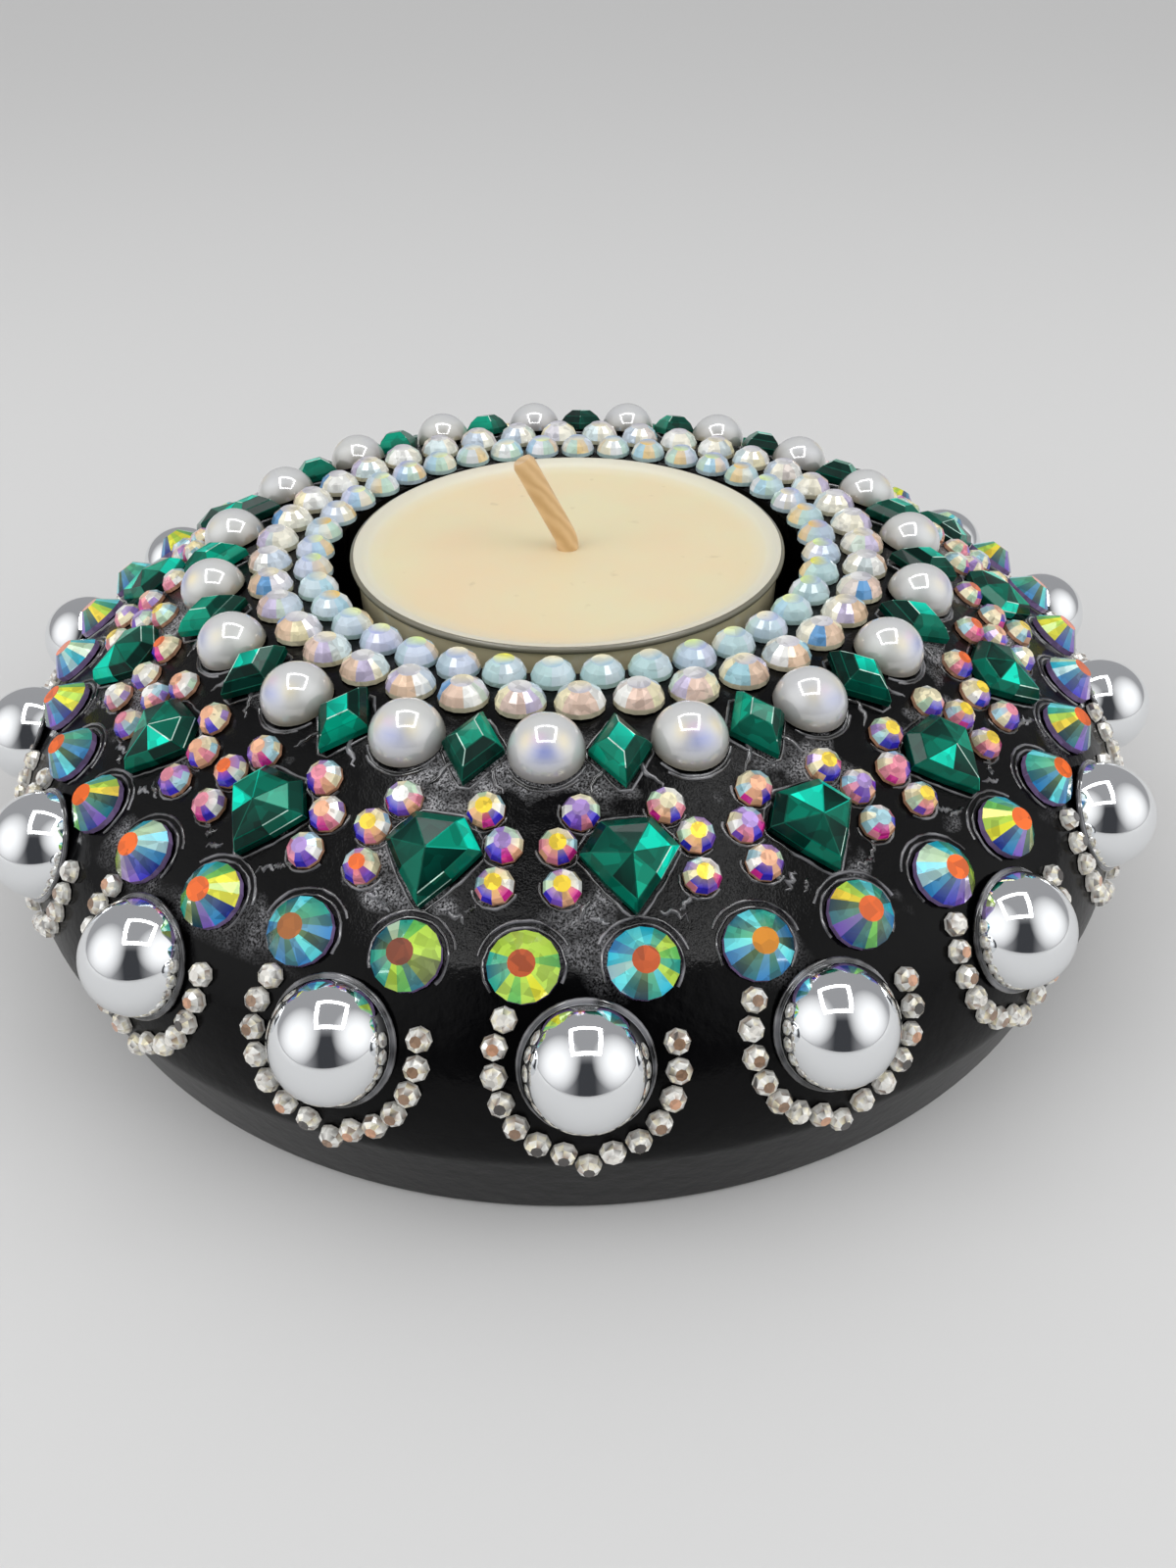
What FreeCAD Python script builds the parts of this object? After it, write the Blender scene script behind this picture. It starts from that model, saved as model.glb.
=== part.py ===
"""Jewelled tealight holder: a black resin ring with a loose tealight in its well.

Frame: millimetres, +Z up, the origin at the centre of the flat base, the front towards -Y.
The driving sizes are in the sheet "Sizes". The set "Layout" works out from them where each
row of stones lies on the domed top, from the well outwards, and so how wide the holder is.
"""
import FreeCAD, Part
import Sketcher
import math
import os

Vector = FreeCAD.Vector
Rotation = FreeCAD.Rotation
Placement = FreeCAD.Placement

# Driving sizes: lengths in millimetres, angles in degrees.
SIZES = {
    # tealight
    "cup_rim_diameter": 38.4,
    "cup_rim_height": 0.6,
    "cup_rim_overhang": 0.5,
    "cup_draft": 0.4,
    "cup_height": 15.1,
    "cup_wall": 0.4,
    "cup_foot_round": 0.5,
    "wax_below_rim": 0.7,
    "wick_diameter": 2.0,
    "wick_lean": 26.6,
    "wick_bend_radius": 3.0,
    "wick_free_length": 7.6,
    "sustainer_diameter": 12.0,
    "sustainer_thickness": 0.3,
    "sustainer_tube_wall": 0.3,
    "sustainer_tube_height": 4.0,
    "wax_fit": 0.02,
    # holder
    "well_side_gap": 2.0,
    "cup_proud": 0.75,
    "lip_round": 0.5,
    "crest_radius": 16.0,
    "flank_slope": 31.0,
    "shoulder_radius": 14.6,
    "belt_height": 8.4,
    "belt_round": 0.6,
    "base_inset": 2.3,
    "base_round": 0.8,
    # rows of stones
    "glue_line": 0.05,
    "row_gap": 0.1,
    "ring_first_angle": 0.6,
    "inner_first_angle": -3.28,
    "opal_diameter": 3.4,
    "opal_height": 1.5,
    "opal_overhang": 0.55,
    "opal_spacing": 0.29,
    "clear_diameter": 3.8,
    "clear_height": 1.6,
    "clear_spacing": 0.49,
    "pearl_diameter": 5.6,
    "rhombus_width": 4.55,
    "rhombus_length": 6.2,
    "rhombus_height": 2.0,
    "kite_width": 6.8,
    "kite_length": 6.6,
    "kite_top_width": 3.5,
    "kite_shoulder_drop": 2.2,
    "kite_height": 2.2,
    "small_diameter": 2.7,
    "small_height": 1.2,
    "small_spacing": 0.2,
    "small_corner_angle": 35.0,
    "small_side_angle": 25.0,
    "kite_gap": 0.07,
    "large_diameter": 4.8,
    "large_height": 1.9,
    "large_gap": 0.85,
    "dome_diameter": 8.6,
    "dome_nest": 0.4,
    "dome_tilt": 60.0,
    "halo_diameter": 1.8,
    "halo_height": 0.9,
    "halo_gap": 0.8,
    "halo_spacing": 0.12,
    "halo_sag": 0.65,
    "bay_spacing": 3.0,
}

# Where the rows lie, as formulas of the sizes. A path length runs outwards over the dome
# from the crest, where the flat top round the well ends.
LAYOUT = {
    "WellRadius": "Sizes.cup_rim_diameter / 2 + Sizes.well_side_gap",
    "OpalRadius": "WellRadius - Sizes.opal_overhang + Sizes.opal_diameter / 2",
    "CrestRadius": "OpalRadius + Sizes.opal_diameter / 2 + Sizes.row_gap + Sizes.clear_diameter / 2",
    "FirstPath": "Sizes.clear_diameter / 2 + Sizes.row_gap",
    "PearlPath": "FirstPath + Sizes.pearl_diameter / 2",
    "RhombusPath": "FirstPath + Sizes.rhombus_length / 2",
    "SmallReach": "Sizes.small_diameter / 2 + Sizes.kite_gap",
    "SmallPath": "RhombusPath + (Sizes.rhombus_length + Sizes.small_diameter) / 2 + Sizes.row_gap",
    "KitePath": "SmallPath + SmallReach * sin(Sizes.small_corner_angle) + Sizes.kite_length / 2",
    "LargePath": "KitePath + (Sizes.kite_length + Sizes.large_diameter) / 2 + Sizes.large_gap",
    "DomePath": "LargePath + (Sizes.large_diameter + Sizes.dome_diameter) / 2 - Sizes.dome_nest",
    "CrestPath": "pi * Sizes.crest_radius * Sizes.flank_slope / 180",
    "DomeShoulderPath": "pi * Sizes.shoulder_radius * (Sizes.dome_tilt - Sizes.flank_slope) / 180",
    "ShoulderPath": "pi * Sizes.shoulder_radius * (90 - Sizes.flank_slope) / 180",
    "FlankLength": "DomePath - CrestPath - DomeShoulderPath",
    "FlankTopRadius": "CrestRadius + Sizes.crest_radius * sin(Sizes.flank_slope)",
    "FlankFootRadius": "FlankTopRadius + FlankLength * cos(Sizes.flank_slope)",
    "BeltRadius": "FlankFootRadius + Sizes.shoulder_radius * (1 - sin(Sizes.flank_slope))",
    "FlankFootHeight": "Sizes.belt_height + Sizes.shoulder_radius * cos(Sizes.flank_slope)",
    "FlankTopHeight": "FlankFootHeight + FlankLength * sin(Sizes.flank_slope)",
    "TopHeight": "FlankTopHeight + Sizes.crest_radius * (1 - cos(Sizes.flank_slope))",
    "FloorHeight": "TopHeight + Sizes.cup_proud - Sizes.cup_height",
    "BaseRadius": "BeltRadius - Sizes.base_inset",
    "CupRadius": "Sizes.cup_rim_diameter / 2 - Sizes.cup_rim_overhang",
    "CupFootRadius": "CupRadius - Sizes.cup_draft",
    "CupRimTop": "FloorHeight + Sizes.cup_height",
    "WaxHeight": "CupRimTop - Sizes.wax_below_rim",
    "WaxFloor": "FloorHeight + Sizes.cup_wall",
    "WaxFootRadius": "CupFootRadius - Sizes.cup_wall - Sizes.wax_fit",
    "WaxTopRadius": "WaxFootRadius + Sizes.cup_draft * (WaxHeight - WaxFloor) / (CupRimTop - WaxFloor)",
    "WickRadius": "Sizes.wick_diameter / 2",
    "WickBore": "WickRadius + Sizes.wax_fit",
    "TubeRadius": "WickBore + Sizes.sustainer_tube_wall",
}

# Counts, and the shares that give a cut stone its form.
LEFT_HALO_STONES = 7
RIGHT_HALO_STONES = 6
LARGE_SIDES = 16
ROUND_SIDES = 12
SMALL_SIDES = 10
HALO_SIDES = 8
GIRDLE_SHARE = 0.25
ROUND_TABLE_SHARE = 0.42
FANCY_TABLE_SHARE = 0.45
LOW_HALO_SHARE = 0.9
TIP_DROP_SHARE = 0.6

doc = FreeCAD.newDocument("tealight_holder")
sheet = doc.addObject("Spreadsheet::Sheet", "Sizes")
for row, (alias, value) in enumerate(SIZES.items(), start=1):
    sheet.set(f"A{row}", alias)
    sheet.set(f"B{row}", str(value))
    sheet.setAlias(f"B{row}", alias)
doc.recompute()

layout = doc.addObject("App::VarSet", "Layout")
for name, formula in LAYOUT.items():
    layout.addProperty("App::PropertyFloat", name)
    layout.setExpression(name, formula)
doc.recompute()


def size(alias):
    """The value of a driving size, read from the sheet."""
    return float(sheet.get(alias))


# The domed top

def dome_point(path):
    """Radius, height and tilt in radians of the dome at a path length out from the crest."""
    slope = math.radians(size("flank_slope"))
    crest, shoulder = size("crest_radius"), size("shoulder_radius")
    if path <= 0:
        return layout.CrestRadius + path, layout.TopHeight, 0.0
    if path <= layout.CrestPath:
        tilt = path / crest
        return (layout.CrestRadius + crest * math.sin(tilt),
                layout.TopHeight - crest * (1 - math.cos(tilt)), tilt)
    path -= layout.CrestPath
    if path <= layout.FlankLength:
        return (layout.FlankTopRadius + path * math.cos(slope),
                layout.FlankTopHeight - path * math.sin(slope), slope)
    path -= layout.FlankLength
    centre = layout.BeltRadius - shoulder
    if path <= layout.ShoulderPath:
        tilt = slope + path / shoulder
        return centre + shoulder * math.sin(tilt), size("belt_height") + shoulder * math.cos(tilt), tilt
    path -= layout.ShoulderPath
    side_tilt = math.atan2(size("base_inset"), size("belt_height"))
    return (layout.BeltRadius - path * math.sin(side_tilt),
            size("belt_height") - path * math.cos(side_tilt), math.pi / 2 + side_tilt)


def seat(path, angle, along=0.0):
    """A flat-back stone's place: its back a glue line above the plane that touches the dome there.

    The angle is in degrees from the front, to the right as seen from there. The stone's X runs
    along the row, Y up the slope and Z out of the dome. along shifts it along the row in mm.
    """
    radius, height, tilt = dome_point(path)
    azimuth = angle + math.degrees(along / radius)
    stand = Rotation(Vector(0, 0, 1), azimuth) * Rotation(Vector(1, 0, 0), math.degrees(tilt))
    spot = Rotation(Vector(0, 0, 1), azimuth).multVec(Vector(0, -radius, height))
    lift = stand.multVec(Vector(0, 0, size("glue_line")))
    return Placement(spot + lift, stand)


def ring_angles(count, first):
    """The angles of a ring of stones at even steps."""
    return [first + 360 * k / count for k in range(count)]


# Helpers for sketches and bodies

parts = []


def keep(feature, label):
    """Mark an object as a finished sub-part."""
    feature.Label = label
    parts.append(feature)
    return feature


def plane_of(body, role):
    """One of a body's own origin planes."""
    return next(item for item in body.Origin.OriginFeatures if item.Role == role)


def sketch_on(body, name, role, height=None):
    """A new sketch on one of the body's origin planes, at a height given as a formula."""
    sketch = body.newObject("Sketcher::SketchObject", name)
    sketch.AttachmentSupport = [(plane_of(body, role), "")]
    sketch.MapMode = "FlatFace"
    if height:
        sketch.setExpression("AttachmentOffset.Base.z", height)
    return sketch


def constrain(sketch, kind, where, formula):
    """Add a dimension to the sketch, bound to a formula of the sizes."""
    number = float(sketch.evalExpression(formula))
    index = sketch.addConstraint(Sketcher.Constraint(kind, *where, number))
    sketch.setExpression(f"Constraints[{index}]", formula)


def join_ends(sketch, joins):
    """Join the ends of edges: each join is (edge, end, edge, end)."""
    for join in joins:
        sketch.addConstraint(Sketcher.Constraint("Coincident", *join))


def pin_corner(sketch, edge, end, point):
    """Pin one end of an edge at (x, y) formulas. "0" puts it on that axis."""
    for kind, formula, axis in (("DistanceX", point[0], -2), ("DistanceY", point[1], -1)):
        if formula == "0":
            sketch.addConstraint(Sketcher.Constraint("PointOnObject", edge, end, axis))
        else:
            constrain(sketch, kind, (-1, 1, edge, end), formula)


def draw_outline(sketch, corners):
    """A closed outline of straight edges between corners given as (x, y) formulas."""
    spots = [Vector(*(float(sketch.evalExpression(text)) for text in corner), 0) for corner in corners]
    count = len(corners)
    for k in range(count):
        sketch.addGeometry(Part.LineSegment(spots[k], spots[(k + 1) % count]), False)
    join_ends(sketch, [(k, 2, (k + 1) % count, 1) for k in range(count)])
    for k, corner in enumerate(corners):
        pin_corner(sketch, k, 1, corner)


def turn_section(body, sketch, name):
    """A full turn of a section about the body's vertical axis."""
    feature = body.newObject("PartDesign::Revolution", name)
    feature.Profile = sketch
    feature.ReferenceAxis = (sketch, ["V_Axis"])
    feature.Angle = 360
    return feature


def round_edge(body, base, name, radius, place):
    """Fillet the circular edge of base that lies nearest to (radius, height)."""
    doc.recompute()
    circles = [(math.dist((edge.Curve.Radius, edge.Curve.Center.z), place), index)
               for index, edge in enumerate(base.Shape.Edges, start=1)
               if isinstance(edge.Curve, Part.Circle)]
    fillet = body.newObject("PartDesign::Fillet", name)
    fillet.Base = (base, [f"Edge{min(circles)[1]}"])
    fillet.setExpression("Radius", radius)
    return fillet


# The resin casting

def make_holder():
    """The casting: flat base, side flaring out to the belt, domed top and the well."""
    body = doc.addObject("PartDesign::Body", "HolderBody")
    sketch = sketch_on(body, "HolderSection", "XZ_Plane")
    belt, shoulder, crest_radius = size("belt_height"), size("shoulder_radius"), size("crest_radius")
    foot_angle = math.pi / 2 - math.radians(size("flank_slope"))
    origin, up = Vector(0, 0, 0), Vector(0, 0, 1)
    base = Vector(layout.BaseRadius, 0, 0)
    belt_point = Vector(layout.BeltRadius, belt, 0)
    flank_foot = Vector(layout.FlankFootRadius, layout.FlankFootHeight, 0)
    flank_top = Vector(layout.FlankTopRadius, layout.FlankTopHeight, 0)
    crest = Vector(layout.CrestRadius, layout.TopHeight, 0)
    lip = Vector(layout.WellRadius, layout.TopHeight, 0)
    well_foot = Vector(layout.WellRadius, layout.FloorHeight, 0)
    floor = Vector(0, layout.FloorHeight, 0)
    shoulder_circle = Part.Circle(Vector(layout.BeltRadius - shoulder, belt, 0), up, shoulder)
    crest_circle = Part.Circle(Vector(crest.x, crest.y - crest_radius, 0), up, crest_radius)
    edges = [
        Part.LineSegment(origin, base),
        Part.LineSegment(base, belt_point),
        Part.ArcOfCircle(shoulder_circle, 0, foot_angle),
        Part.LineSegment(flank_foot, flank_top),
        Part.ArcOfCircle(crest_circle, foot_angle, math.pi / 2),
        Part.LineSegment(crest, lip),
        Part.LineSegment(lip, well_foot),
        Part.LineSegment(well_foot, floor),
        Part.LineSegment(floor, origin),
    ]
    bottom, side, shoulder_arc, flank, crest_arc, flat, wall, well_floor, axis = range(len(edges))
    sketch.addGeometry(edges, False)
    join_ends(sketch, [(edge, 2, edge + 1, 1) for edge in range(axis)])
    join_ends(sketch, [(axis, 2, bottom, 1), (bottom, 1, -1, 1)])
    sketch.addConstraint(Sketcher.Constraint("PointOnObject", well_floor, 2, -2))
    sketch.addConstraint(Sketcher.Constraint("PointOnObject", side, 1, -1))
    for level in (flat, well_floor):
        sketch.addConstraint(Sketcher.Constraint("Horizontal", level))
    sketch.addConstraint(Sketcher.Constraint("Vertical", wall))
    sketch.addConstraint(Sketcher.Constraint("Horizontal", shoulder_arc, 3, side, 2))
    sketch.addConstraint(Sketcher.Constraint("Vertical", crest_arc, 3, crest_arc, 2))
    constrain(sketch, "Radius", (shoulder_arc,), "Sizes.shoulder_radius")
    constrain(sketch, "Radius", (crest_arc,), "Sizes.crest_radius")
    constrain(sketch, "DistanceX", (-1, 1, side, 1), "Layout.BaseRadius")
    constrain(sketch, "DistanceX", (-1, 1, side, 2), "Layout.BeltRadius")
    constrain(sketch, "DistanceY", (-1, 1, side, 2), "Sizes.belt_height")
    constrain(sketch, "DistanceX", (-1, 1, flank, 1), "Layout.FlankFootRadius")
    constrain(sketch, "DistanceX", (-1, 1, flank, 2), "Layout.FlankTopRadius")
    constrain(sketch, "DistanceX", (-1, 1, flat, 1), "Layout.CrestRadius")
    constrain(sketch, "DistanceY", (-1, 1, flat, 1), "Layout.TopHeight")
    constrain(sketch, "DistanceX", (-1, 1, wall, 1), "Layout.WellRadius")
    constrain(sketch, "DistanceY", (-1, 1, wall, 2), "Layout.FloorHeight")
    turned = turn_section(body, sketch, "HolderTurned")
    lip_round = round_edge(body, turned, "LipRound", "Sizes.lip_round", (lip.x, lip.y))
    belt_round = round_edge(body, lip_round, "BeltRound", "Sizes.belt_round", (belt_point.x, belt))
    round_edge(body, belt_round, "BaseRound", "Sizes.base_round", (base.x, 0))
    keep(body, "holder_body")


# The tealight

def make_cup():
    """The thin cup: a flat foot, a slightly flared wall and a flat rim that stands out."""
    body = doc.addObject("PartDesign::Body", "CupBody")
    sketch = sketch_on(body, "CupSection", "XZ_Plane")
    rim_foot = "Layout.CupRimTop - Sizes.cup_rim_height"
    draw_outline(sketch, [
        ("0", "Layout.FloorHeight"),
        ("Layout.CupFootRadius", "Layout.FloorHeight"),
        ("Layout.CupRadius", rim_foot),
        ("Sizes.cup_rim_diameter / 2", rim_foot),
        ("Sizes.cup_rim_diameter / 2", "Layout.CupRimTop"),
        ("Layout.CupRadius - Sizes.cup_wall", "Layout.CupRimTop"),
        ("Layout.CupFootRadius - Sizes.cup_wall", "Layout.WaxFloor"),
        ("0", "Layout.WaxFloor"),
    ])
    turned = turn_section(body, sketch, "CupTurned")
    foot = (layout.CupFootRadius, layout.FloorHeight)
    round_edge(body, turned, "CupFootRound", "Sizes.cup_foot_round", foot)
    keep(body, "tealight_cup")


def make_wax():
    """The wax fill, with room for the wick and its sustainer."""
    body = doc.addObject("PartDesign::Body", "WaxBody")
    sketch = sketch_on(body, "WaxSection", "XZ_Plane")
    disc_radius = "Sizes.sustainer_diameter / 2 + Sizes.wax_fit"
    disc_top = "Layout.WaxFloor + Sizes.sustainer_thickness + Sizes.wax_fit"
    tube_radius = "Layout.TubeRadius + Sizes.wax_fit"
    tube_top = "Layout.WaxFloor + Sizes.sustainer_tube_height + Sizes.wax_fit"
    draw_outline(sketch, [
        ("Layout.WickBore", "Layout.WaxHeight"),
        ("Layout.WaxTopRadius", "Layout.WaxHeight"),
        ("Layout.WaxFootRadius", "Layout.WaxFloor"),
        (disc_radius, "Layout.WaxFloor"),
        (disc_radius, disc_top),
        (tube_radius, disc_top),
        (tube_radius, tube_top),
        ("Layout.WickBore", tube_top),
    ])
    turn_section(body, sketch, "WaxTurned")
    keep(body, "tealight_wax")


def make_sustainer():
    """The metal disc at the bottom of the wax, with the tube that grips the wick."""
    body = doc.addObject("PartDesign::Body", "SustainerBody")
    sketch = sketch_on(body, "SustainerSection", "XZ_Plane")
    disc_top = "Layout.WaxFloor + Sizes.sustainer_thickness"
    tube_top = "Layout.WaxFloor + Sizes.sustainer_tube_height"
    draw_outline(sketch, [
        ("Layout.WickBore", "Layout.WaxFloor"),
        ("Sizes.sustainer_diameter / 2", "Layout.WaxFloor"),
        ("Sizes.sustainer_diameter / 2", disc_top),
        ("Layout.TubeRadius", disc_top),
        ("Layout.TubeRadius", tube_top),
        ("Layout.WickBore", tube_top),
    ])
    turn_section(body, sketch, "SustainerTurned")
    keep(body, "wick_sustainer")


def make_wick():
    """The wick: upright through the wax, then bent over to the left above it."""
    body = doc.addObject("PartDesign::Body", "WickBody")
    section = sketch_on(body, "WickSection", "XY_Plane", "Layout.WaxFloor")
    section.addGeometry(Part.Circle(Vector(0, 0, 0), Vector(0, 0, 1), layout.WickRadius), False)
    section.addConstraint(Sketcher.Constraint("Coincident", 0, 3, -1, 1))
    constrain(section, "Radius", (0,), "Layout.WickRadius")
    path = sketch_on(body, "WickPath", "XZ_Plane")
    bend, free = size("wick_bend_radius"), size("wick_free_length")
    lean = math.radians(size("wick_lean"))
    low, high = Vector(0, layout.WaxFloor, 0), Vector(0, layout.WaxHeight, 0)
    turn = Vector(-bend, layout.WaxHeight, 0)
    bend_end = turn + Vector(bend * math.cos(lean), bend * math.sin(lean), 0)
    tip = bend_end + Vector(-free * math.sin(lean), free * math.cos(lean), 0)
    upright, arc, lying = 0, 1, 2
    path.addGeometry([
        Part.LineSegment(low, high),
        Part.ArcOfCircle(Part.Circle(turn, Vector(0, 0, 1), bend), 0, lean),
        Part.LineSegment(bend_end, tip),
    ], False)
    join_ends(path, [(upright, 2, arc, 1), (arc, 2, lying, 1)])
    for end in (1, 2):
        path.addConstraint(Sketcher.Constraint("PointOnObject", upright, end, -2))
    path.addConstraint(Sketcher.Constraint("Horizontal", arc, 3, arc, 1))
    constrain(path, "DistanceY", (-1, 1, upright, 1), "Layout.WaxFloor")
    constrain(path, "DistanceY", (-1, 1, upright, 2), "Layout.WaxHeight")
    constrain(path, "Radius", (arc,), "Sizes.wick_bend_radius")
    constrain(path, "DistanceY", (arc, 1, arc, 2), "Sizes.wick_bend_radius * sin(Sizes.wick_lean)")
    constrain(path, "DistanceX", (lying, 2, lying, 1), "Sizes.wick_free_length * sin(Sizes.wick_lean)")
    constrain(path, "DistanceY", (lying, 1, lying, 2), "Sizes.wick_free_length * cos(Sizes.wick_lean)")
    pipe = body.newObject("PartDesign::AdditivePipe", "WickPipe")
    pipe.Profile = section
    pipe.Spine = (path, ["Edge1", "Edge2", "Edge3"])
    keep(body, "tealight_wick")


# The stones: one pattern of each kind, and copies of it on the dome

def round_stone(name, diameter, height, sides):
    """Pattern of a round flat-back stone: a low girdle under a crown with a flat table."""
    girdle = f"{height} * {GIRDLE_SHARE}"
    table = f"{diameter} / 2 * {ROUND_TABLE_SHARE}"
    levels = [("Back", f"{diameter} / 2", "0"), ("Girdle", f"{diameter} / 2", girdle),
              ("Table", table, height)]
    wires = []
    for level, radius, lift in levels:
        wire = doc.addObject("Part::RegularPolygon", name + level)
        wire.Polygon = sides
        wire.setExpression("Circumradius", radius)
        wire.setExpression("Placement.Base.z", lift)
        wires.append(wire)
    stone = doc.addObject("Part::Loft", name)
    stone.Sections = wires
    stone.Solid = True
    stone.Ruled = True
    return stone


def fancy_stone(name, corners, height):
    """Pattern of a cut stone with a cornered outline, its crown drawn in to a flat table."""
    body = doc.addObject("PartDesign::Body", name)
    levels = [("Back", 1, "0"), ("Girdle", 1, f"{height} * {GIRDLE_SHARE}"),
              ("Table", FANCY_TABLE_SHARE, height)]
    sketches = []
    for level, share, lift in levels:
        sketch = sketch_on(body, name + level, "XY_Plane", lift)
        draw_outline(sketch, [tuple(text if text == "0" else f"({text}) * {share}" for text in corner)
                              for corner in corners])
        sketches.append(sketch)
    loft = body.newObject("PartDesign::AdditiveLoft", name + "Crown")
    loft.Profile = sketches[0]
    loft.Sections = sketches[1:]
    loft.Ruled = True
    return body


def half_ball(name, diameter):
    """Pattern of a half-round cabochon with a flat back."""
    ball = doc.addObject("Part::Sphere", name)
    ball.setExpression("Radius", f"{diameter} / 2")
    ball.Angle1 = 0
    return ball


def place_each(pattern, label, places):
    """A sub-part of its own at each place, numbered from the front round to the right."""
    for number, place in enumerate(places, start=1):
        stone = doc.addObject("Part::Feature", f"{pattern.Name}{number}")
        stone.Shape = pattern.Shape.copy()
        stone.Placement = place
        keep(stone, f"{label}_{number:02d}")


def place_domes(places):
    """The mirror domes: a half ball of its own at each place, numbered the same way."""
    for number, place in enumerate(places, start=1):
        dome = half_ball(f"Dome{number}", "Sizes.dome_diameter")
        dome.Placement = place
        keep(dome, f"chrome_dome_{number:02d}")


def place_group(pattern, label, places):
    """One sub-part that holds a separate stone at each place."""
    stones = []
    for place in places:
        stone = pattern.Shape.copy()
        stone.Placement = place
        stones.append(stone)
    group = doc.addObject("Part::Feature", f"{pattern.Name}Group")
    group.Shape = Part.makeCompound(stones)
    group.Placement = Placement()
    keep(group, label)


def fit_count(radius, pitch):
    """How many stones of this pitch go round a ring of this radius."""
    return math.floor(2 * math.pi * radius / pitch)


def small_places(angles):
    """Places of the six small stones round each kite: three down either side."""
    reach = layout.SmallReach
    corner, side = math.radians(size("small_corner_angle")), math.radians(size("small_side_angle"))
    shoulder = size("kite_length") / 2 - size("kite_shoulder_drop")
    beside = (size("kite_width") / 2 + reach * math.cos(side), shoulder + reach * math.sin(side))
    spots = [
        (size("kite_top_width") / 2 + reach * math.cos(corner),
         size("kite_length") / 2 + reach * math.sin(corner)),
        beside,
        (beside[0], beside[1] - size("small_diameter") - size("small_spacing")),
    ]
    return [seat(layout.KitePath - y, angle, hand * x)
            for angle in angles for hand in (-1, 1) for x, y in spots]


def halo_spots():
    """The horseshoe of tiny stones round a dome, as (x, y) from its centre, Y up the slope.

    The horseshoe sags a little towards the base, where a single stone hangs as its tip.
    """
    stone, pitch = size("halo_diameter"), size("halo_diameter") + size("halo_spacing")
    inner = size("dome_diameter") / 2 + size("halo_gap") + stone / 2

    def reach(angle):
        """Distance of the horseshoe from the dome's centre at an angle."""
        return inner + size("halo_sag") * min(0, math.sin(angle)) ** 2

    down = -math.pi / 2
    low = math.asin(LOW_HALO_SHARE * stone / reach(down))
    spots = [(0, -reach(down) * math.cos(low) - TIP_DROP_SHARE * stone)]
    for hand, count in ((-1, LEFT_HALO_STONES), (1, RIGHT_HALO_STONES)):
        angle = down + hand * low
        for _ in range(count):
            spots.append((reach(angle) * math.cos(angle), reach(angle) * math.sin(angle)))
            angle += hand * pitch / reach(angle)
    return spots


def make_stones():
    """Every row of stones, from the well outwards."""
    opal = round_stone("OpalStone", "Sizes.opal_diameter", "Sizes.opal_height", ROUND_SIDES)
    clear = round_stone("ClearStone", "Sizes.clear_diameter", "Sizes.clear_height", ROUND_SIDES)
    small = round_stone("SmallStone", "Sizes.small_diameter", "Sizes.small_height", SMALL_SIDES)
    large = round_stone("LargeStone", "Sizes.large_diameter", "Sizes.large_height", LARGE_SIDES)
    tiny = round_stone("HaloStone", "Sizes.halo_diameter", "Sizes.halo_height", HALO_SIDES)
    pearl = half_ball("Pearl", "Sizes.pearl_diameter")
    long, wide = "Sizes.rhombus_length / 2", "Sizes.rhombus_width / 2"
    rhombus = fancy_stone(
        "Rhombus", [("0", long), (f"-{wide}", "0"), ("0", f"-{long}"), (wide, "0")],
        "Sizes.rhombus_height")
    top = "Sizes.kite_length / 2"
    shoulder = "(Sizes.kite_length / 2 - Sizes.kite_shoulder_drop)"
    half_top, half_width = "Sizes.kite_top_width / 2", "Sizes.kite_width / 2"
    kite = fancy_stone(
        "Kite", [(half_top, top), (f"-{half_top}", top), (f"-{half_width}", shoulder),
                 ("0", f"-{top}"), (half_width, shoulder)],
        "Sizes.kite_height")
    doc.recompute()

    opal_count = fit_count(layout.OpalRadius, size("opal_diameter") + size("opal_spacing"))
    clear_count = fit_count(layout.CrestRadius, size("clear_diameter") + size("clear_spacing"))
    inner_pitch = size("pearl_diameter") + size("rhombus_width")
    inner_count = fit_count(dome_point(layout.RhombusPath)[0], inner_pitch)
    bay = size("dome_diameter") + 2 * (size("halo_gap") + size("halo_diameter")) + size("bay_spacing")
    bay_count = fit_count(dome_point(layout.DomePath)[0], bay)
    inner_first, first = size("inner_first_angle"), size("ring_first_angle")
    quarter = 90 / bay_count
    dome_angles = ring_angles(bay_count, first)
    kite_angles = ring_angles(bay_count, first + quarter)
    large_angles = ring_angles(2 * bay_count, first + quarter)
    opal_path = layout.OpalRadius - layout.CrestRadius
    pearl_angles = ring_angles(inner_count, inner_first)
    rhombus_angles = ring_angles(inner_count, inner_first + 180 / inner_count)

    place_group(opal, "opal_row", [seat(opal_path, a) for a in ring_angles(opal_count, inner_first)])
    place_group(clear, "clear_row",
                [seat(0, a) for a in ring_angles(clear_count, inner_first + 180 / clear_count)])
    place_group(pearl, "pearl_cabochons", [seat(layout.PearlPath, a) for a in pearl_angles])
    place_group(rhombus, "emerald_rhombi", [seat(layout.RhombusPath, a) for a in rhombus_angles])
    place_each(kite, "emerald_kite", [seat(layout.KitePath, a) for a in kite_angles])
    place_group(small, "small_ab_stones", small_places(kite_angles))
    place_group(large, "large_ab_stones", [seat(layout.LargePath, a) for a in large_angles])
    place_domes([seat(layout.DomePath, a) for a in dome_angles])
    place_group(tiny, "halo_crystals",
                [seat(layout.DomePath - y, a, x) for a in dome_angles for x, y in halo_spots()])


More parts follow.
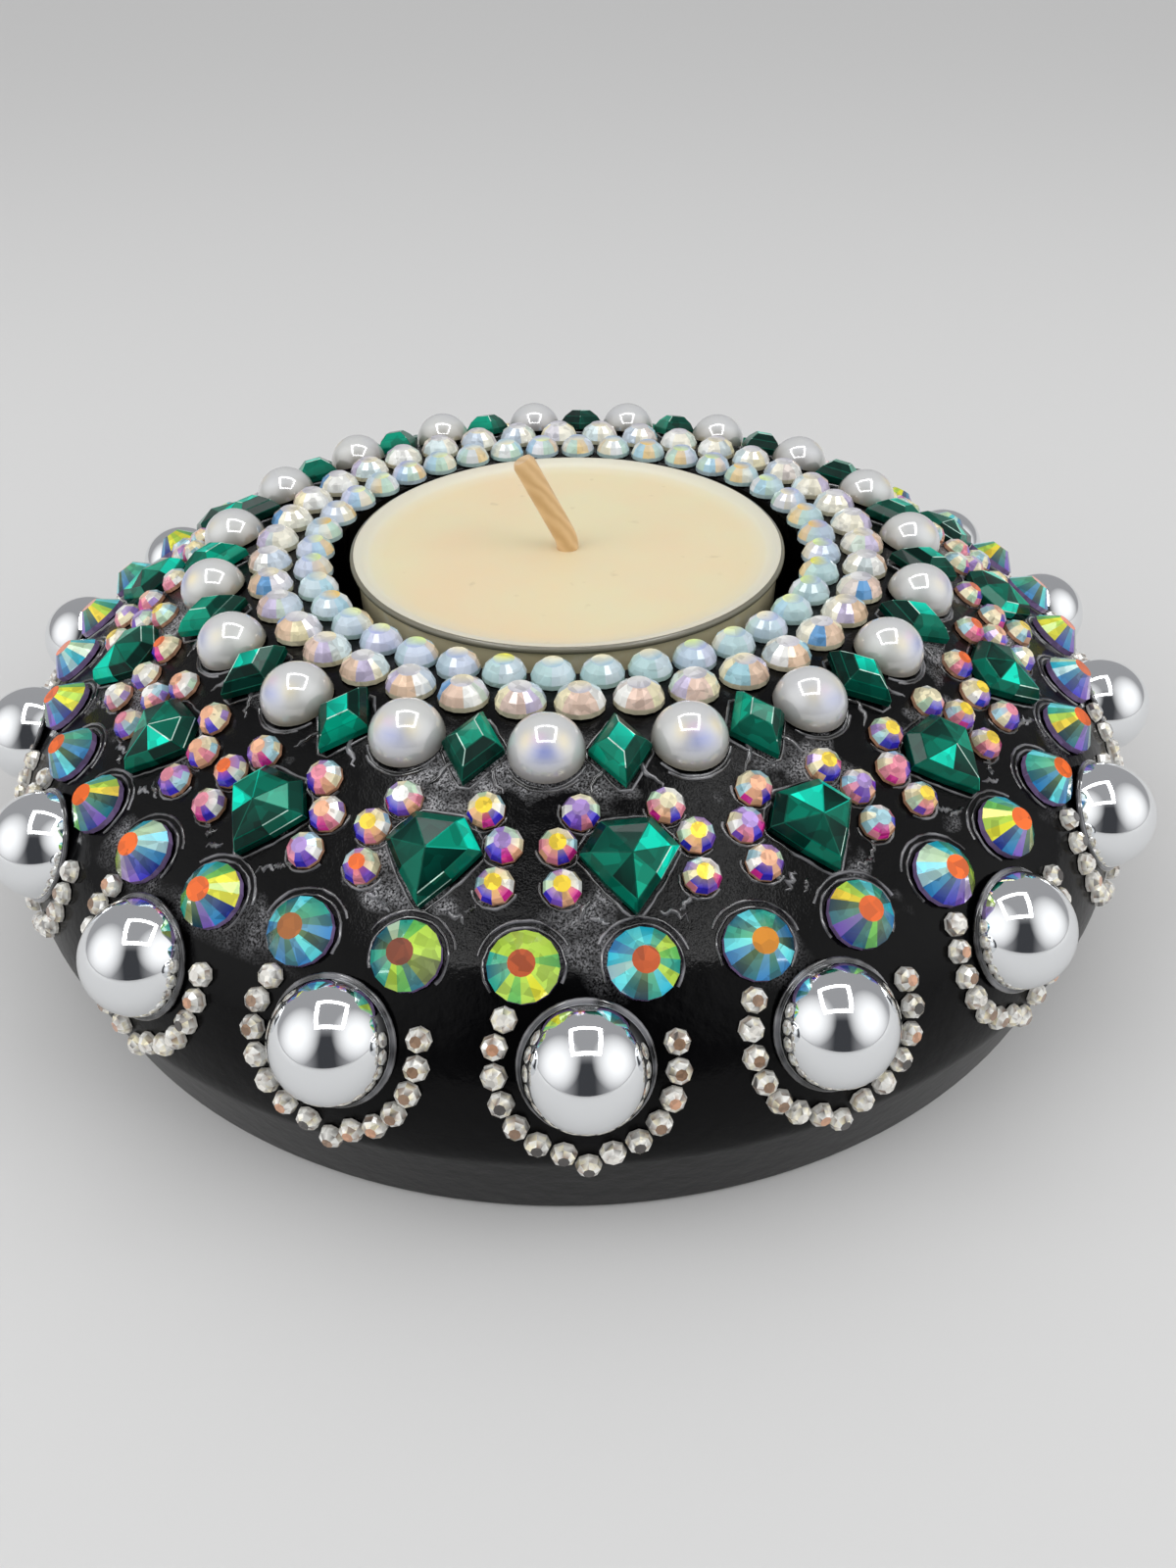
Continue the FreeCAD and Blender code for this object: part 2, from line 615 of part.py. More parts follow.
def check_and_write():
    """Stop if anything failed to build, then write a STEP file for each sub-part."""
    for item in doc.Objects:
        if "Invalid" in item.State or "Error" in item.State:
            raise RuntimeError(f"{item.Label} did not build: {item.State}")
    for part in parts:
        if part.Shape.isNull() or not part.Shape.isValid() or not part.Shape.Solids:
            raise RuntimeError(f"{part.Label} has no valid solid")
    os.makedirs("parts", exist_ok=True)
    for part in parts:
        part.Shape.exportStep(f"parts/{part.Label}.step")
        print(f"{part.Label}: {len(part.Shape.Solids)} solid(s), {part.Shape.Volume:.2f} mm3")


make_holder()
make_cup()
make_wax()
make_sustainer()
make_wick()
make_stones()
doc.recompute()
check_and_write()
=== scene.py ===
"""Looks of the jewelled tealight holder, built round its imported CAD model.

Lengths are written in millimetres, as in the CAD model, and turned into metres by MM. Angles
round the holder are in degrees from the front, to the right as seen from there.
"""
from math import asin, atan2, cos, degrees, exp, hypot, pi, radians, sin
from random import choice, random, seed, shuffle, uniform

import bpy
from mathutils import Color, Matrix, Vector


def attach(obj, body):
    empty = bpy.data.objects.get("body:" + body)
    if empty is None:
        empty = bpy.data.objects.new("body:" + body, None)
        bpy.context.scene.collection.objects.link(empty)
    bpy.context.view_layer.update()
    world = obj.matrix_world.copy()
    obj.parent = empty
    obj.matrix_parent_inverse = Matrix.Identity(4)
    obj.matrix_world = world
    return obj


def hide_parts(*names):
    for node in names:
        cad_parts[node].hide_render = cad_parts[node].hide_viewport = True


MM = 0.001

# The casting
CREST_RADIUS = 26.05
CREST_ROUND = 16.0
FLANK_SLOPE = radians(31)
SHOULDER_ROUND = 14.6
BELT_HEIGHT = 8.4
BASE_INSET = 2.3
BASE_ROUND = 0.8
DOME_TILT = radians(60)
GLUE_LINE = 0.05

# The stones: diameters and heights
OPAL, OPAL_HEIGHT = 3.4, 1.5
CLEAR, CLEAR_HEIGHT = 3.8, 1.6
PEARL = 5.6
RHOMBUS_WIDTH, RHOMBUS_LENGTH, RHOMBUS_HEIGHT = 4.55, 6.2, 2.0
KITE_WIDTH, KITE_LENGTH, KITE_HEIGHT = 6.8, 6.6, 2.2
KITE_TOP_WIDTH, KITE_SHOULDER = 3.5, KITE_LENGTH / 2 - 2.2
SMALL, SMALL_HEIGHT, SMALL_SPACING = 2.7, 1.2, 0.2
LARGE, LARGE_HEIGHT = 4.8, 1.9
DOME = 8.6
HALO, HALO_HEIGHT, HALO_SPACING, HALO_GAP, HALO_SAG = 1.8, 0.9, 0.12, 0.8, 0.65

# Where the rows lie: path lengths outwards over the dome from the crest
ROW_GAP, LARGE_GAP, DOME_NEST = 0.1, 0.85, 0.4
OPAL_PATH = -(OPAL + CLEAR) / 2 - ROW_GAP
FIRST_PATH = CLEAR / 2 + ROW_GAP
PEARL_PATH = FIRST_PATH + PEARL / 2
RHOMBUS_PATH = FIRST_PATH + RHOMBUS_LENGTH / 2
SMALL_REACH = SMALL / 2 + 0.07
SMALL_CORNER_ANGLE = radians(35)
SMALL_SIDE_ANGLE = radians(25)
SMALL_PATH = RHOMBUS_PATH + (RHOMBUS_LENGTH + SMALL) / 2 + ROW_GAP
KITE_PATH = SMALL_PATH + SMALL_REACH * sin(SMALL_CORNER_ANGLE) + KITE_LENGTH / 2
LARGE_PATH = KITE_PATH + (KITE_LENGTH + LARGE) / 2 + LARGE_GAP
DOME_PATH = LARGE_PATH + (LARGE + DOME) / 2 - DOME_NEST
CREST_PATH = CREST_ROUND * FLANK_SLOPE
SHOULDER_PATH = SHOULDER_ROUND * (pi / 2 - FLANK_SLOPE)
FLANK_LENGTH = DOME_PATH - CREST_PATH - SHOULDER_ROUND * (DOME_TILT - FLANK_SLOPE)
FLANK_TOP_RADIUS = CREST_RADIUS + CREST_ROUND * sin(FLANK_SLOPE)
FLANK_FOOT_RADIUS = FLANK_TOP_RADIUS + FLANK_LENGTH * cos(FLANK_SLOPE)
BELT_RADIUS = FLANK_FOOT_RADIUS + SHOULDER_ROUND * (1 - sin(FLANK_SLOPE))
FLANK_FOOT_HEIGHT = BELT_HEIGHT + SHOULDER_ROUND * cos(FLANK_SLOPE)
FLANK_TOP_HEIGHT = FLANK_FOOT_HEIGHT + FLANK_LENGTH * sin(FLANK_SLOPE)
TOP_HEIGHT = FLANK_TOP_HEIGHT + CREST_ROUND * (1 - cos(FLANK_SLOPE))

# Counts and first angles of the rows
BAYS, INNER, EDGE = 18, 19, 38
RING_FIRST, INNER_FIRST = 0.6, -3.28
LEFT_HALO, RIGHT_HALO = 7, 6

# The glue: the size of its ridges, how deep they sink, and how far off a stone's edge they lie
RIDGE_RADIUS, RIDGE_SINK = 0.14, 0.03
LARGE_RIDGE, OUTER_LARGE_RIDGE = 0.28, 0.75
PEARL_RIDGE, OUTER_PEARL_RIDGE = 0.2, 0.42
RHOMBUS_RIDGE, KITE_RIDGE, SMALL_RIDGE = 0.3, 0.32, 0.17
SKIRT_RADIUS, SKIRT_GAP = 0.2, 0.08

# The tealight
CUP_RIM, CUP_RIM_HEIGHT, CUP_OVERHANG, CUP_DRAFT = 38.4, 0.6, 0.5, 0.4
CUP_HEIGHT, CUP_WALL, CUP_PROUD = 15.1, 0.4, 0.75
WELL_GAP, LIP_ROUND = 2.0, 0.5
WAX_BELOW_RIM, WAX_FIT = 0.7, 0.02
WICK, WICK_LEAN, WICK_BEND, WICK_FREE = 2.0, radians(26.6), 3.0, 7.6
WELL_RADIUS = CUP_RIM / 2 + WELL_GAP
FLOOR_HEIGHT = TOP_HEIGHT + CUP_PROUD - CUP_HEIGHT
RIM_TOP = FLOOR_HEIGHT + CUP_HEIGHT
WAX_TOP = RIM_TOP - WAX_BELOW_RIM

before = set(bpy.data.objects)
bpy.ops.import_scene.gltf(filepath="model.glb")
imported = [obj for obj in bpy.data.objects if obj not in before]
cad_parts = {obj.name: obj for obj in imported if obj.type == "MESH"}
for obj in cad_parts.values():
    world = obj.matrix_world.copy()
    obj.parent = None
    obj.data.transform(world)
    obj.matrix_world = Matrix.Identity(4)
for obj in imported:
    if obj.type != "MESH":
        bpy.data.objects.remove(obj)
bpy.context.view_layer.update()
seed(18)


# Places on the dome

def dome_point(path):
    """Radius, height and tilt of the dome at a path length out from the crest."""
    if path <= 0:
        return CREST_RADIUS + path, TOP_HEIGHT, 0.0
    if path <= CREST_PATH:
        tilt = path / CREST_ROUND
        return (CREST_RADIUS + CREST_ROUND * sin(tilt),
                TOP_HEIGHT - CREST_ROUND * (1 - cos(tilt)), tilt)
    path -= CREST_PATH
    if path <= FLANK_LENGTH:
        return (FLANK_TOP_RADIUS + path * cos(FLANK_SLOPE),
                FLANK_TOP_HEIGHT - path * sin(FLANK_SLOPE), FLANK_SLOPE)
    path -= FLANK_LENGTH
    if path <= SHOULDER_PATH:
        tilt = FLANK_SLOPE + path / SHOULDER_ROUND
        return (BELT_RADIUS - SHOULDER_ROUND * (1 - sin(tilt)),
                BELT_HEIGHT + SHOULDER_ROUND * cos(tilt), tilt)
    path -= SHOULDER_PATH
    side_tilt = atan2(BASE_INSET, BELT_HEIGHT)
    return (BELT_RADIUS - path * sin(side_tilt),
            BELT_HEIGHT - path * cos(side_tilt), pi / 2 + side_tilt)


def seat(path, angle, along=0.0, lift=GLUE_LINE):
    """The matrix that puts a stone on the dome: X along the row, Y up the slope, Z outwards."""
    radius, height, tilt = dome_point(path)
    turn = Matrix.Rotation(radians(angle) + along / radius, 4, "Z")
    out = Matrix.Translation(Vector((0, -radius, height)) * MM) @ Matrix.Rotation(tilt, 4, "X")
    return turn @ out @ Matrix.Translation((0, 0, lift * MM))


def ring_angles(count, first):
    """The angles of a ring of stones at even steps."""
    return [first + 360 * k / count for k in range(count)]


# Modelling helpers

def select_only(piece):
    """Select one piece alone and make it the active one."""
    bpy.ops.object.select_all(action="DESELECT")
    piece.select_set(True)
    bpy.context.view_layer.objects.active = piece


def add_object(name, data):
    """Put an object with the given data in the scene."""
    thing = bpy.data.objects.new(name, data)
    bpy.context.scene.collection.objects.link(thing)
    return thing


def add_piece(name, operator, **settings):
    """Add a primitive by its operator, alone selected, and name it."""
    bpy.ops.object.select_all(action="DESELECT")
    operator(**settings)
    piece = bpy.context.object
    piece.name = name
    return piece


def raise_ring(height, share=1.0):
    """Extrude what is selected upwards by a height in mm, and draw it in to a share of its size."""
    bpy.ops.mesh.extrude_region_move(TRANSFORM_OT_translate={"value": (0, 0, height * MM)})
    bpy.ops.transform.resize(value=(share, share, 1))


def end_edit():
    """Turn all faces outwards and leave edit mode."""
    bpy.ops.mesh.select_all(action="SELECT")
    bpy.ops.mesh.normals_make_consistent(inside=False)
    bpy.ops.object.mode_set(mode="OBJECT")


def smooth(piece, angle=40):
    """Shade a piece smooth, apart from its edges sharper than an angle."""
    select_only(piece)
    bpy.ops.object.shade_smooth_by_angle(angle=radians(angle))


def spin_outline(name, outline, steps):
    """Turn an open outline of (radius, height) points in mm about the upright axis."""
    mesh = bpy.data.meshes.new(name)
    points = [(radius * MM, 0, height * MM) for radius, height in outline]
    mesh.from_pydata(points, [(k, k + 1) for k in range(len(points) - 1)], [])
    piece = add_object(name, mesh)
    select_only(piece)
    bpy.ops.object.mode_set(mode="EDIT")
    bpy.ops.mesh.select_all(action="SELECT")
    bpy.ops.mesh.spin(steps=steps, angle=2 * pi, center=(0, 0, 0), axis=(0, 0, 1))
    bpy.ops.mesh.select_all(action="SELECT")
    bpy.ops.mesh.remove_doubles(threshold=0.002 * MM)
    end_edit()
    smooth(piece)
    return piece


def arc(centre, radius, start, end, steps):
    """Points of an arc in the (radius, height) plane, angles in degrees."""
    angles = [radians(start + (end - start) * k / steps) for k in range(steps + 1)]
    return [(centre[0] + radius * cos(a), centre[1] + radius * sin(a)) for a in angles]


def dress(piece, material, body, slot, *nodes):
    """Give a piece its material and body, and hide the CAD nodes that it stands for. The slot is not
    used.
    """
    piece.data.materials.clear()
    piece.data.materials.append(material)
    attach(piece, body)
    if nodes:
        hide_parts(*nodes)


def screen(red, green, blue):
    """A colour written as it shows on a screen, 0 to 255, as a linear one."""
    return Color((red / 255, green / 255, blue / 255)).from_srgb_to_scene_linear()[:]


def paint_facets(stone, tint_and_painted_light):
    """Paint a stone facet by facet in the colours that the given function gives: the stone's own tints
    with painted reflections, highlights and shade.
    """
    colours = stone.data.color_attributes.new(name="facet", type="FLOAT_COLOR", domain="CORNER")
    for face in stone.data.polygons:
        for corner in face.loop_indices:
            point = stone.data.vertices[stone.data.loops[corner].vertex_index].co
            colours.data[corner].color = (*tint_and_painted_light(face, point), 1)


def set_stones(name, pattern, places, paint=None, first=0):
    """Copies of a pattern at the given places, numbered and painted one by one, in one piece."""
    bpy.ops.object.select_all(action="DESELECT")
    for number, place in enumerate(places, first):
        stone = pattern.copy()
        stone.data = pattern.data.copy()
        if paint:
            paint_facets(stone, paint(number))
        stone.data.transform(place)
        bpy.context.scene.collection.objects.link(stone)
        stone.select_set(True)
        bpy.context.view_layer.objects.active = stone
    if len(places) > 1:
        bpy.ops.object.join()
    group = bpy.context.object
    group.name = name
    return group


# Material helpers

def set_inputs(node, values):
    """Set some inputs of a node to constants. Underscores in their names stand for spaces."""
    for socket, value in values.items():
        node.inputs[socket.replace("_", " ")].default_value = value


def new_material(name, **values):
    """A material, its node tree and its shader, with some inputs of the shader set."""
    material = bpy.data.materials.new(name)
    material.use_nodes = True
    tree = material.node_tree
    shader = tree.nodes["Principled BSDF"]
    set_inputs(shader, values)
    return material, tree, shader


def add_node(tree, kind, **values):
    """Add a node with some of its inputs set."""
    node = tree.nodes.new(kind)
    set_inputs(node, values)
    return node


def feed(tree, socket, value):
    """Set a socket to a number or colour, or link another socket to it."""
    if isinstance(value, (int, float)):
        socket.default_value = value
    elif isinstance(value, tuple):
        socket.default_value = (*value, 1)
    else:
        tree.links.new(value, socket)


def object_place(tree):
    """The object's own coordinates."""
    return tree.nodes.new("ShaderNodeTexCoord").outputs["Object"]


def split_axes(tree, place):
    """The X, Y and Z of some coordinates, by name."""
    axes = tree.nodes.new("ShaderNodeSeparateXYZ")
    tree.links.new(place, axes.inputs["Vector"])
    return axes.outputs


def object_noise(tree, scale, detail=2.0, roughness=0.5):
    """Noise on the object's own coordinates."""
    noise = add_node(tree, "ShaderNodeTexNoise", Scale=scale, Detail=detail, Roughness=roughness)
    tree.links.new(object_place(tree), noise.inputs["Vector"])
    return noise.outputs["Fac"]


def facet_paint(tree):
    """The colours painted on the facets."""
    paint = tree.nodes.new("ShaderNodeAttribute")
    paint.attribute_name = "facet"
    return paint.outputs["Color"]


def remap(tree, value, low, high, start, end):
    """Map a value from one range to another, clamped."""
    node = add_node(tree, "ShaderNodeMapRange", From_Min=low, From_Max=high, To_Min=start, To_Max=end)
    tree.links.new(value, node.inputs["Value"])
    return node.outputs["Result"]


def math_node(tree, operation, first, second):
    """A Math node of two values or sockets."""
    node = tree.nodes.new("ShaderNodeMath")
    node.operation = operation
    feed(tree, node.inputs[0], first)
    feed(tree, node.inputs[1], second)
    return node.outputs["Value"]


def times(tree, first, second):
    """The product of two values or sockets."""
    return math_node(tree, "MULTIPLY", first, second)


def plus(tree, first, second):
    """The sum of two values or sockets."""
    return math_node(tree, "ADD", first, second)


# Numbers of a Mix node's colour sockets, whose names its other sockets share
MIX_FIRST, MIX_SECOND, MIX_RESULT = 6, 7, 2


def mix_colours(tree, factor, first, second):
    """Mix two colours or sockets by a factor."""
    node = tree.nodes.new("ShaderNodeMix")
    node.data_type = "RGBA"
    feed(tree, node.inputs["Factor"], factor)
    feed(tree, node.inputs[MIX_FIRST], first)
    feed(tree, node.inputs[MIX_SECOND], second)
    return node.outputs[MIX_RESULT]


def bump(tree, shader, height, strength, distance):
    """Bump from a height socket, its distance in mm."""
    node = add_node(tree, "ShaderNodeBump", Strength=strength, Distance=distance * MM)
    tree.links.new(height, node.inputs["Height"])
    tree.links.new(node.outputs["Normal"], shader.inputs["Normal"])


# Materials

# Where the casting's gloss, grain and painted sheen change: heights, and how far outside the well
SHEEN_GRAIN_LOW, SHEEN_GRAIN_FULL = 18.2, 22.0
SHEEN_GRAIN_FADE, SHEEN_GRAIN_END = 27.6, 28.4
SATIN_HEIGHT, GLOSS_HEIGHT = 9.0, 19.0
WELL_CLEAR, WELL_FULL = 0.5, 2.0


def black_resin():
    """Cast black resin: glossy, with rougher, grainy patches between the inner rows that carry a painted
    silvery sheen, and satin low down.
    """
    material, tree, shader = new_material("black_resin", Specular_IOR_Level=0.11)
    axes = split_axes(tree, object_place(tree))
    height = axes["Z"]
    squared = plus(tree, times(tree, axes["X"], axes["X"]), times(tree, axes["Y"], axes["Y"]))
    outside = remap(tree, squared, ((WELL_RADIUS + WELL_CLEAR) * MM) ** 2,
                    ((WELL_RADIUS + WELL_FULL) * MM) ** 2, 0, 1)
    low = times(tree, remap(tree, height, SHEEN_GRAIN_LOW * MM, SHEEN_GRAIN_FULL * MM, 0, 1), outside)
    high = remap(tree, height, SHEEN_GRAIN_FADE * MM, SHEEN_GRAIN_END * MM, 1, 0)
    patches = remap(tree, object_noise(tree, 130, 3), 0.54, 0.64, 0, 1)
    patches = times(tree, times(tree, low, high), patches)
    fine = object_noise(tree, 6800, 2, 0.6)
    sheen_spread = remap(tree, object_noise(tree, 700, 3), 0.42, 0.6, 0.35, 1)
    # Painted sheen: silvery grey mixed into the black in the grainy patches
    painted_sheen = times(tree, times(tree, patches, remap(tree, fine, 0.4, 0.62, 0, 1)), sheen_spread)
    tree.links.new(mix_colours(tree, painted_sheen, screen(5, 5, 6), screen(192, 192, 196)),
                   shader.inputs["Base Color"])
    satin = remap(tree, height, SATIN_HEIGHT * MM, GLOSS_HEIGHT * MM, 0.3, 0.1)
    tree.links.new(plus(tree, satin, times(tree, patches, 0.2)), shader.inputs["Roughness"])
    grain = plus(tree, patches, times(tree, low, 0.35))
    bump(tree, shader, plus(tree, object_noise(tree, 620, 4), times(tree, grain, fine)), 0.55, 0.12)
    return material


def clear_glue():
    """Clear glue over black resin: black, with broken lines of painted highlight in its colour."""
    material, tree, shader = new_material(
        "clear_glue", Roughness=0.07, Coat_Weight=1.0, Coat_Roughness=0.03)
    # Painted highlight: broken light grey lines mixed into the glue's black
    painted_highlight = remap(tree, object_noise(tree, 420), 0.42, 0.66, 0, 1)
    tree.links.new(mix_colours(tree, painted_highlight, screen(14, 14, 15), screen(120, 120, 124)),
                   shader.inputs["Base Color"])
    bump(tree, shader, object_noise(tree, 900), 0.25, 0.08)
    return material


def mirror_chrome():
    """Vacuum-plated mirror finish with faint unevenness."""
    material, tree, shader = new_material(
        "mirror_chrome", Base_Color=(*screen(236, 238, 240), 1), Metallic=1.0, Roughness=0.05)
    bump(tree, shader, object_noise(tree, 300), 0.06, 0.1)
    return material


def facet_colour(tree, scale, low, high):
    """The painted facet colour, broken up into flat shards, each lighter or darker: painted light, as it
    breaks up inside a cut stone.
    """
    # Painted light: each shard scales the facet colour lighter or darker
    shards = add_node(tree, "ShaderNodeTexVoronoi", Scale=scale)
    tree.links.new(object_place(tree), shards.inputs["Vector"])
    split = tree.nodes.new("ShaderNodeSeparateColor")
    tree.links.new(shards.outputs["Color"], split.inputs["Color"])
    scaled = tree.nodes.new("ShaderNodeVectorMath")
    scaled.operation = "SCALE"
    tree.links.new(facet_paint(tree), scaled.inputs[0])
    tree.links.new(remap(tree, split.outputs["Red"], 0, 1, low, high), scaled.inputs["Scale"])
    return scaled.outputs["Vector"]


def cut_crystal(name, shard, low, high, metallic=0.1, roughness=0.2, gloss=1.0, specular=0.15):
    """A cut stone with a mirrored back: painted facets, painted shards of light and a hard clear
    surface.
    """
    material, tree, shader = new_material(
        name, Metallic=metallic, Roughness=roughness, Specular_IOR_Level=specular,
        Coat_Weight=gloss, Coat_Roughness=0.015, Coat_IOR=1.55)
    tree.links.new(facet_colour(tree, 1 / (shard * MM), low, high), shader.inputs["Base Color"])
    return material


def pearl_lustre():
    """Pearl coat: painted tint, with painted reflections and shade, under a hard gloss."""
    material, tree, shader = new_material(
        "pearl_lustre", Roughness=0.2, Coat_Weight=1.0, Coat_Roughness=0.02, Coat_IOR=1.9)
    cloud = remap(tree, object_noise(tree, 260), 0.35, 0.65, 0, 0.16)
    tree.links.new(mix_colours(tree, cloud, facet_paint(tree), screen(176, 178, 206)),
                   shader.inputs["Base Color"])
    return material


def candle_wax():
    """Cream wax, a little mottled, with soft light under its surface and a paler edge."""
    material, tree, shader = new_material(
        "candle_wax", Roughness=0.42, Subsurface_Weight=0.25, Subsurface_Scale=3 * MM,
        Subsurface_Radius=(1.0, 0.7, 0.4))
    height = split_axes(tree, object_place(tree))["Z"]
    cloud = remap(tree, object_noise(tree, 70, 3), 0.4, 0.65, 0, 1)
    warm = mix_colours(tree, cloud, screen(229, 219, 181), screen(233, 212, 174))
    fleck = remap(tree, object_noise(tree, 500), 0.7, 0.76, 0, 0.35)
    flecked = mix_colours(tree, fleck, warm, screen(196, 178, 140))
    edge = remap(tree, height, (WAX_TOP + 0.02) * MM, (WAX_TOP + 0.3) * MM, 0, 0.6)
    tree.links.new(mix_colours(tree, edge, flecked, screen(234, 230, 212)),
                   shader.inputs["Base Color"])
    bump(tree, shader, object_noise(tree, 220, 3), 0.25, 0.1)
    return material


def clear_plastic():
    """The thin clear cup: a grey line at its rim, and a side that shows the wax behind it, painted paler
    to make up for the shade of the narrow well.
    """
    material, tree, shader = new_material(
        "clear_plastic", Roughness=0.3, Coat_Weight=0.5, Coat_Roughness=0.08)
    height = split_axes(tree, object_place(tree))["Z"]
    rim = remap(tree, height, (RIM_TOP - 0.75) * MM, (RIM_TOP - 0.5) * MM, 0, 1)
    cloud = remap(tree, object_noise(tree, 150, 3), 0.35, 0.65, 0, 1)
    # Painted light: the side's cream made paler than the shaded wax behind it would show
    side = mix_colours(tree, cloud, screen(244, 233, 196), screen(236, 222, 180))
    frost = remap(tree, object_noise(tree, 420, 4), 0.58, 0.68, 0, 0.5)
    side = mix_colours(tree, frost, side, screen(246, 242, 224))
    tree.links.new(mix_colours(tree, rim, side, screen(112, 108, 92)), shader.inputs["Base Color"])
    bump(tree, shader, object_noise(tree, 200), 0.1, 0.1)
    return material


def waxed_cotton():
    """Braided cotton wick soaked in wax."""
    material, tree, shader = new_material("waxed_cotton", Roughness=0.6, Sheen_Weight=0.3)
    braid = add_node(tree, "ShaderNodeTexWave", Scale=420.0, Distortion=3.0, Detail=2.0)
    braid.wave_type = "BANDS"
    braid.bands_direction = "DIAGONAL"
    tree.links.new(object_place(tree), braid.inputs["Vector"])
    strand = braid.outputs["Fac"]
    tree.links.new(mix_colours(tree, strand, screen(198, 160, 108), screen(214, 178, 128)),
                   shader.inputs["Base Color"])
    bump(tree, shader, strand, 0.35, 0.12)
    return material


def tin_plate():
    """Plain tin-plated steel of the wick's sustainer."""
    material, tree, shader = new_material(
        "tin_plate", Base_Color=(*screen(190, 190, 190), 1), Metallic=1.0)
    tree.links.new(remap(tree, object_noise(tree, 400), 0.3, 0.7, 0.3, 0.45),
                   shader.inputs["Roughness"])
    return material


# Facet colours: the stones' own tints with their painted reflections, highlights and shade

LIME, GRASS, FLASH = screen(190, 226, 80), screen(104, 196, 92), screen(246, 240, 60)
OLIVE, SEA, TEAL = screen(120, 132, 72), screen(40, 170, 152), screen(28, 112, 132)
CYAN, BRIGHT, SKY = screen(24, 196, 228), screen(96, 232, 246), screen(40, 132, 200)
NAVY, NIGHT, ROYAL = screen(36, 50, 152), screen(18, 62, 84), screen(56, 44, 196)
VIOLET, LILAC, MAGENTA = screen(126, 84, 200), screen(170, 140, 206), screen(218, 44, 150)
PINK, PEACH, CREAM = screen(232, 140, 160), screen(236, 176, 140), screen(244, 234, 196)
PALE_GREEN, PALE_SKY = screen(196, 226, 196), screen(170, 214, 226)
GOLD, AMBER, ORANGE = screen(248, 214, 60), screen(200, 126, 12), screen(240, 104, 20)
RUST, TAWNY, UMBER = screen(160, 72, 36), screen(166, 98, 40), screen(122, 56, 26)
WHITE, SILVER = screen(240, 240, 236), screen(222, 219, 212)
SMOKE, TAN = screen(70, 66, 64), screen(140, 112, 90)
# Greens of the emerald glass in painted shade and light: FOREST and SLATE darkest, TURQUOISE the
# brightest painted highlight
FOREST, DEEP, EMERALD = screen(0, 40, 33), screen(0, 68, 55), screen(0, 106, 85)
JADE, TURQUOISE, SLATE = screen(0, 152, 122), screen(0, 222, 190), screen(6, 50, 43)

# Colours of the facets round a large stone, from the right, anticlockwise: the coating's iridescence as
# seen from the front, painted in as reflection
LIME_WHEEL = [GRASS, LIME, LIME, LIME, LIME, LIME, LIME, SEA,
              TEAL, SEA, LIME, GRASS, LIME, FLASH, LIME, LIME]
CYAN_WHEEL = [GRASS, LIME, SEA, CYAN, BRIGHT, CYAN, SKY, CYAN,
              PALE_SKY, BRIGHT, TEAL, NIGHT, SEA, CYAN, LIME, SEA]
BLUE_WHEEL = [SKY, TEAL, SEA, SEA, BRIGHT, TEAL, SEA, BRIGHT,
              SKY, NIGHT, TEAL, SKY, TEAL, SKY, BRIGHT, NIGHT]
GREEN_WHEEL = [LIME, LIME, LIME, GRASS, SEA, PALE_GREEN, TEAL, NIGHT,
               SEA, TEAL, SEA, LIME, GRASS, TEAL, OLIVE, OLIVE]
MIXED_WHEEL = [SKY, PALE_SKY, CYAN, PALE_GREEN, PALE_GREEN, CYAN, SEA, CYAN,
               SEA, GRASS, LIME, OLIVE, LILAC, VIOLET, ROYAL, NAVY]
SIDE_WHEEL = [NAVY, FLASH, LIME, FLASH, GRASS, SEA, CYAN, TEAL,
              PALE_SKY, TEAL, GRASS, SEA, OLIVE, NIGHT, VIOLET, SKY]
DEEP_WHEEL = [NIGHT, GOLD, LIME, SEA, BRIGHT, SEA, TEAL, CYAN,
              SKY, TEAL, NIGHT, GRASS, TEAL, NAVY, VIOLET, TEAL]

# The large stones in front have their own wheels and tables, by number from the front to the right
FRONT_WHEELS = {0: CYAN_WHEEL, 1: BLUE_WHEEL, 34: GREEN_WHEEL, 35: LIME_WHEEL}
FRONT_TABLES = {1: AMBER, 33: TAWNY, 34: UMBER}
OTHER_WHEELS = (SIDE_WHEEL, MIXED_WHEEL, DEEP_WHEEL, BLUE_WHEEL)

# Colours of a kite's facets from its right corner in steps of 45 degrees, anticlockwise: painted light
# and shade of the one green glass
FRONT_KITES = {
    0: (EMERALD, TURQUOISE, SLATE, DEEP, EMERALD, FOREST, EMERALD, JADE),
    17: (FOREST, JADE, SLATE, SLATE, DEEP, EMERALD, DEEP, FOREST),
}

# Faces below the first area are the narrow bevelled edges of a cut stone, and below the second their
# tips; some edges carry a painted highlight
LIT_EDGE, LIT_TIP = 0.35 * MM * MM, 0.12 * MM * MM


def blend(first, second, share):
    """A colour part of the way from one to another."""
    return tuple(a + (b - a) * share for a, b in zip(first, second))


def clamp(value):
    """A value kept between 0 and 1."""
    return min(1, max(0, value))


def facet_angle(face):
    """The direction in degrees in which a facet lies, 0 along the row and 90 up the slope."""
    return degrees(atan2(face.center.y, face.center.x)) % 360


def facet_rise(face):
    """How far a facet lies up the slope: 1 straight up, -1 straight down."""
    return sin(radians(facet_angle(face)))


def is_table(face):
    """Whether a face is the flat top of a stone."""
    return face.normal.z > 0.98


def is_wall(face):
    """Whether a face is part of the upright wall of a stone."""
    return face.normal.z < 0.2


def is_inner(point, diameter):
    """Whether a corner lies at the table of a round stone and not at its wall."""
    return hypot(point.x, point.y) < diameter * 0.4 * MM


